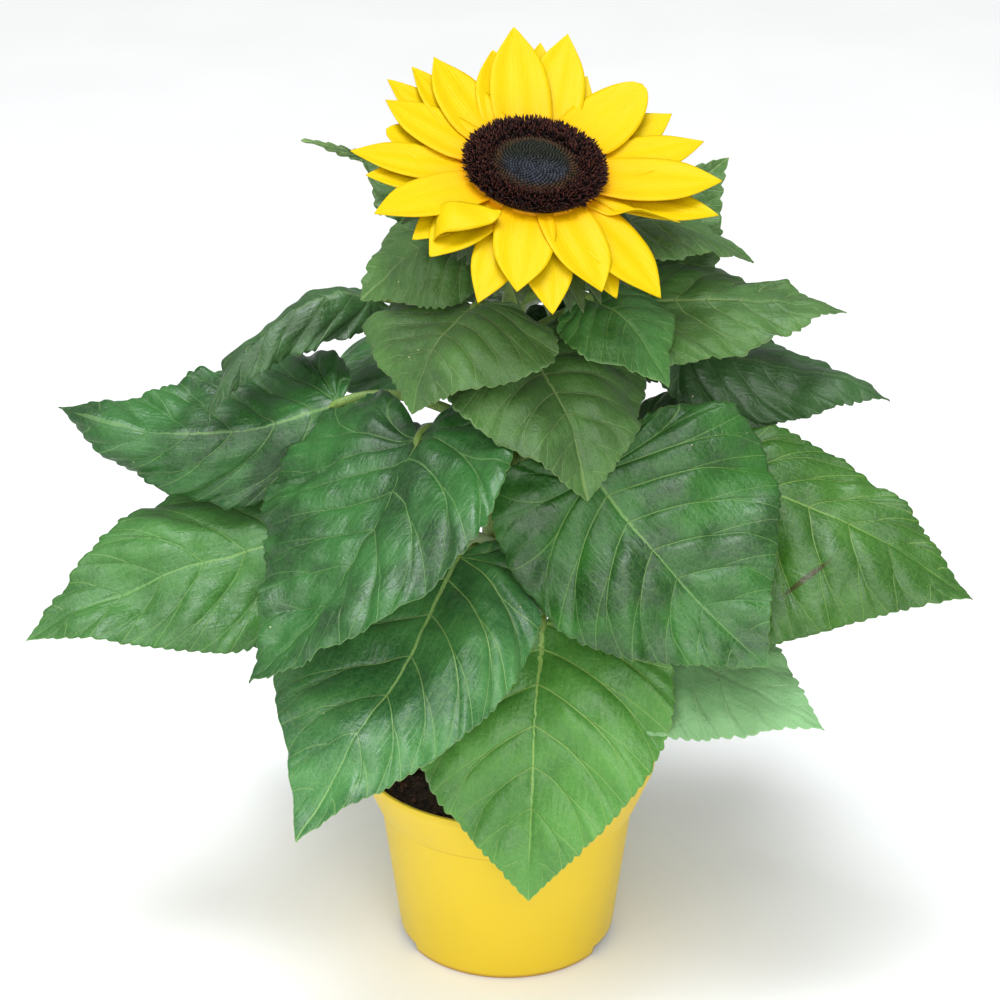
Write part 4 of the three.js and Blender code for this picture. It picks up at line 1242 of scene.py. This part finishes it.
def make_soil():
    shape = Shape()
    rng = np.random.default_rng(12)
    edge = soil_limit(SOIL_TOP - 3)
    turn = full_turn(SOIL_SEGMENTS)
    top = around(np.linspace(0, edge, SOIL_RINGS)[:, None], turn, 0.0)
    top[..., 2] = soil_height(top[..., 0], top[..., 1])
    wall = [[soil_limit(z), z] for z in (COLLAR_FOOT_Z + 1, COLLAR_FOOT_Z - 5, FLOOR + 0.3)]
    wall = np.array([[edge, SOIL_TOP - 5], *wall, [0, FLOOR + 0.3]])
    points = np.concatenate([top, around(wall[:, :1], turn, wall[:, 1:])])
    corners = ring_grid(len(points), SOIL_SEGMENTS, pinched=(0, -1))
    shape.add(points, grid_faces(corners[:, ::-1]))

    # Crumbs in two tones
    lump, lump_faces = spike(7, [[0.55, -0.7], [0.95, -0.25], [0.9, 0.3], [0.5, 0.8]])
    lump[:, :2] *= 1 + 0.12 * np.sin(np.arange(len(lump)) * 2.4)[:, None]
    for tone in (0, 1):
        reach = np.sqrt(rng.uniform(0.01, 0.95, CRUMBS)) * edge
        places = around(reach, rng.uniform(0, 2 * np.pi, CRUMBS), 0.0)
        size = rng.uniform(0.35, 1.9, CRUMBS) * rng.uniform(0.5, 1.0, CRUMBS)
        places[:, 2] = soil_height(places[:, 0], places[:, 1]) + 0.2 * size
        axes = axes_along(unit(rng.normal(size=(CRUMBS, 3))), rng)
        axes = axes * rng.uniform(0.6, 1.2, (CRUMBS, 3, 1))
        scatter(shape, (lump, lump_faces), places, axes, size, slot=tone)
    looks = [soil_look("soil_dark", (26, 17, 13), (64, 42, 32)),
             soil_look("soil_brown", (58, 34, 24), (104, 66, 46))]
    shape.build("soil_fine", "soil", looks)


# Floor, light and camera

def hang(name, data, place, turn):
    """Puts a lamp or a camera into the scene, at a place in metres, with its turns about X, Y and Z."""
    held = bpy.data.objects.new(name, data)
    held.location = place
    held.rotation_euler = turn
    bpy.context.scene.collection.objects.link(held)
    return held


def lamp(name, kind, place, turn, **settings):
    data = bpy.data.lights.new(name, kind)
    for key, value in settings.items():
        setattr(data, key, value)
    hang(name, data, place, turn)


def softbox(name, place, size, power, colour=(1, 1, 1)):
    way = np.array(LIGHT_AIM) - np.array(place)
    turn = (math.acos(-way[2] / np.linalg.norm(way)), 0, math.atan2(way[1], way[0]) - math.pi / 2)
    lamp(name, "AREA", place, turn, shape="SQUARE", size=size, energy=power, color=colour)


def make_stage():
    bpy.ops.mesh.primitive_plane_add(size=14)
    floor = bpy.context.object
    floor.name = "floor"
    look = Look("floor_pale")
    grain = look.noise(look.place(), 6, 2)
    floor.data.materials.append(look.wear(
        look.mix(look.fade(grain, 0.3, 0.7), (249, 249, 248), (252, 252, 251)), 0.8))

    world = bpy.data.worlds.new("soft_sky")
    world.use_nodes = True
    sky = world.node_tree.nodes["Background"]
    sky.inputs["Color"].default_value = (0.96, 0.98, 1.0, 1)
    sky.inputs["Strength"].default_value = 0.38
    bpy.context.scene.world = world
    lamp("far_key", "SUN", (0, 0, 0), (math.radians(35), 0, math.radians(-30)), energy=1.9,
         angle=math.radians(75))
    softbox("overhead", (-0.1, -0.15, 1.5), size=0.62, power=13, colour=(0.9, 0.96, 1.0))
    softbox("front", (0.5, -2.1, 1.0), size=1.5, power=22)


def make_camera():
    lens = bpy.data.cameras.new("camera")
    lens.sensor_width = SENSOR
    lens.lens = CAMERA_FOCAL * SENSOR
    turn = (math.radians(90 - CAMERA_DOWN), 0, 0)
    bpy.context.scene.camera = hang("camera", lens, CAMERA_PLACE, turn)


bpy.context.scene.view_settings.view_transform = "Standard"
make_camera()
make_stage()
stem_skin = stalk("stem_skin", (146, 168, 84), (98, 132, 56))
make_pot()
make_soil()
make_stem(stem_skin)
# The calyx's skin is far darker than the stem's: its own dark green and painted shade under the petals.
make_calyx(stalk("calyx_skin", (58, 84, 24), (26, 46, 10), 0.0))
make_petals()
make_disc()
make_leaves()
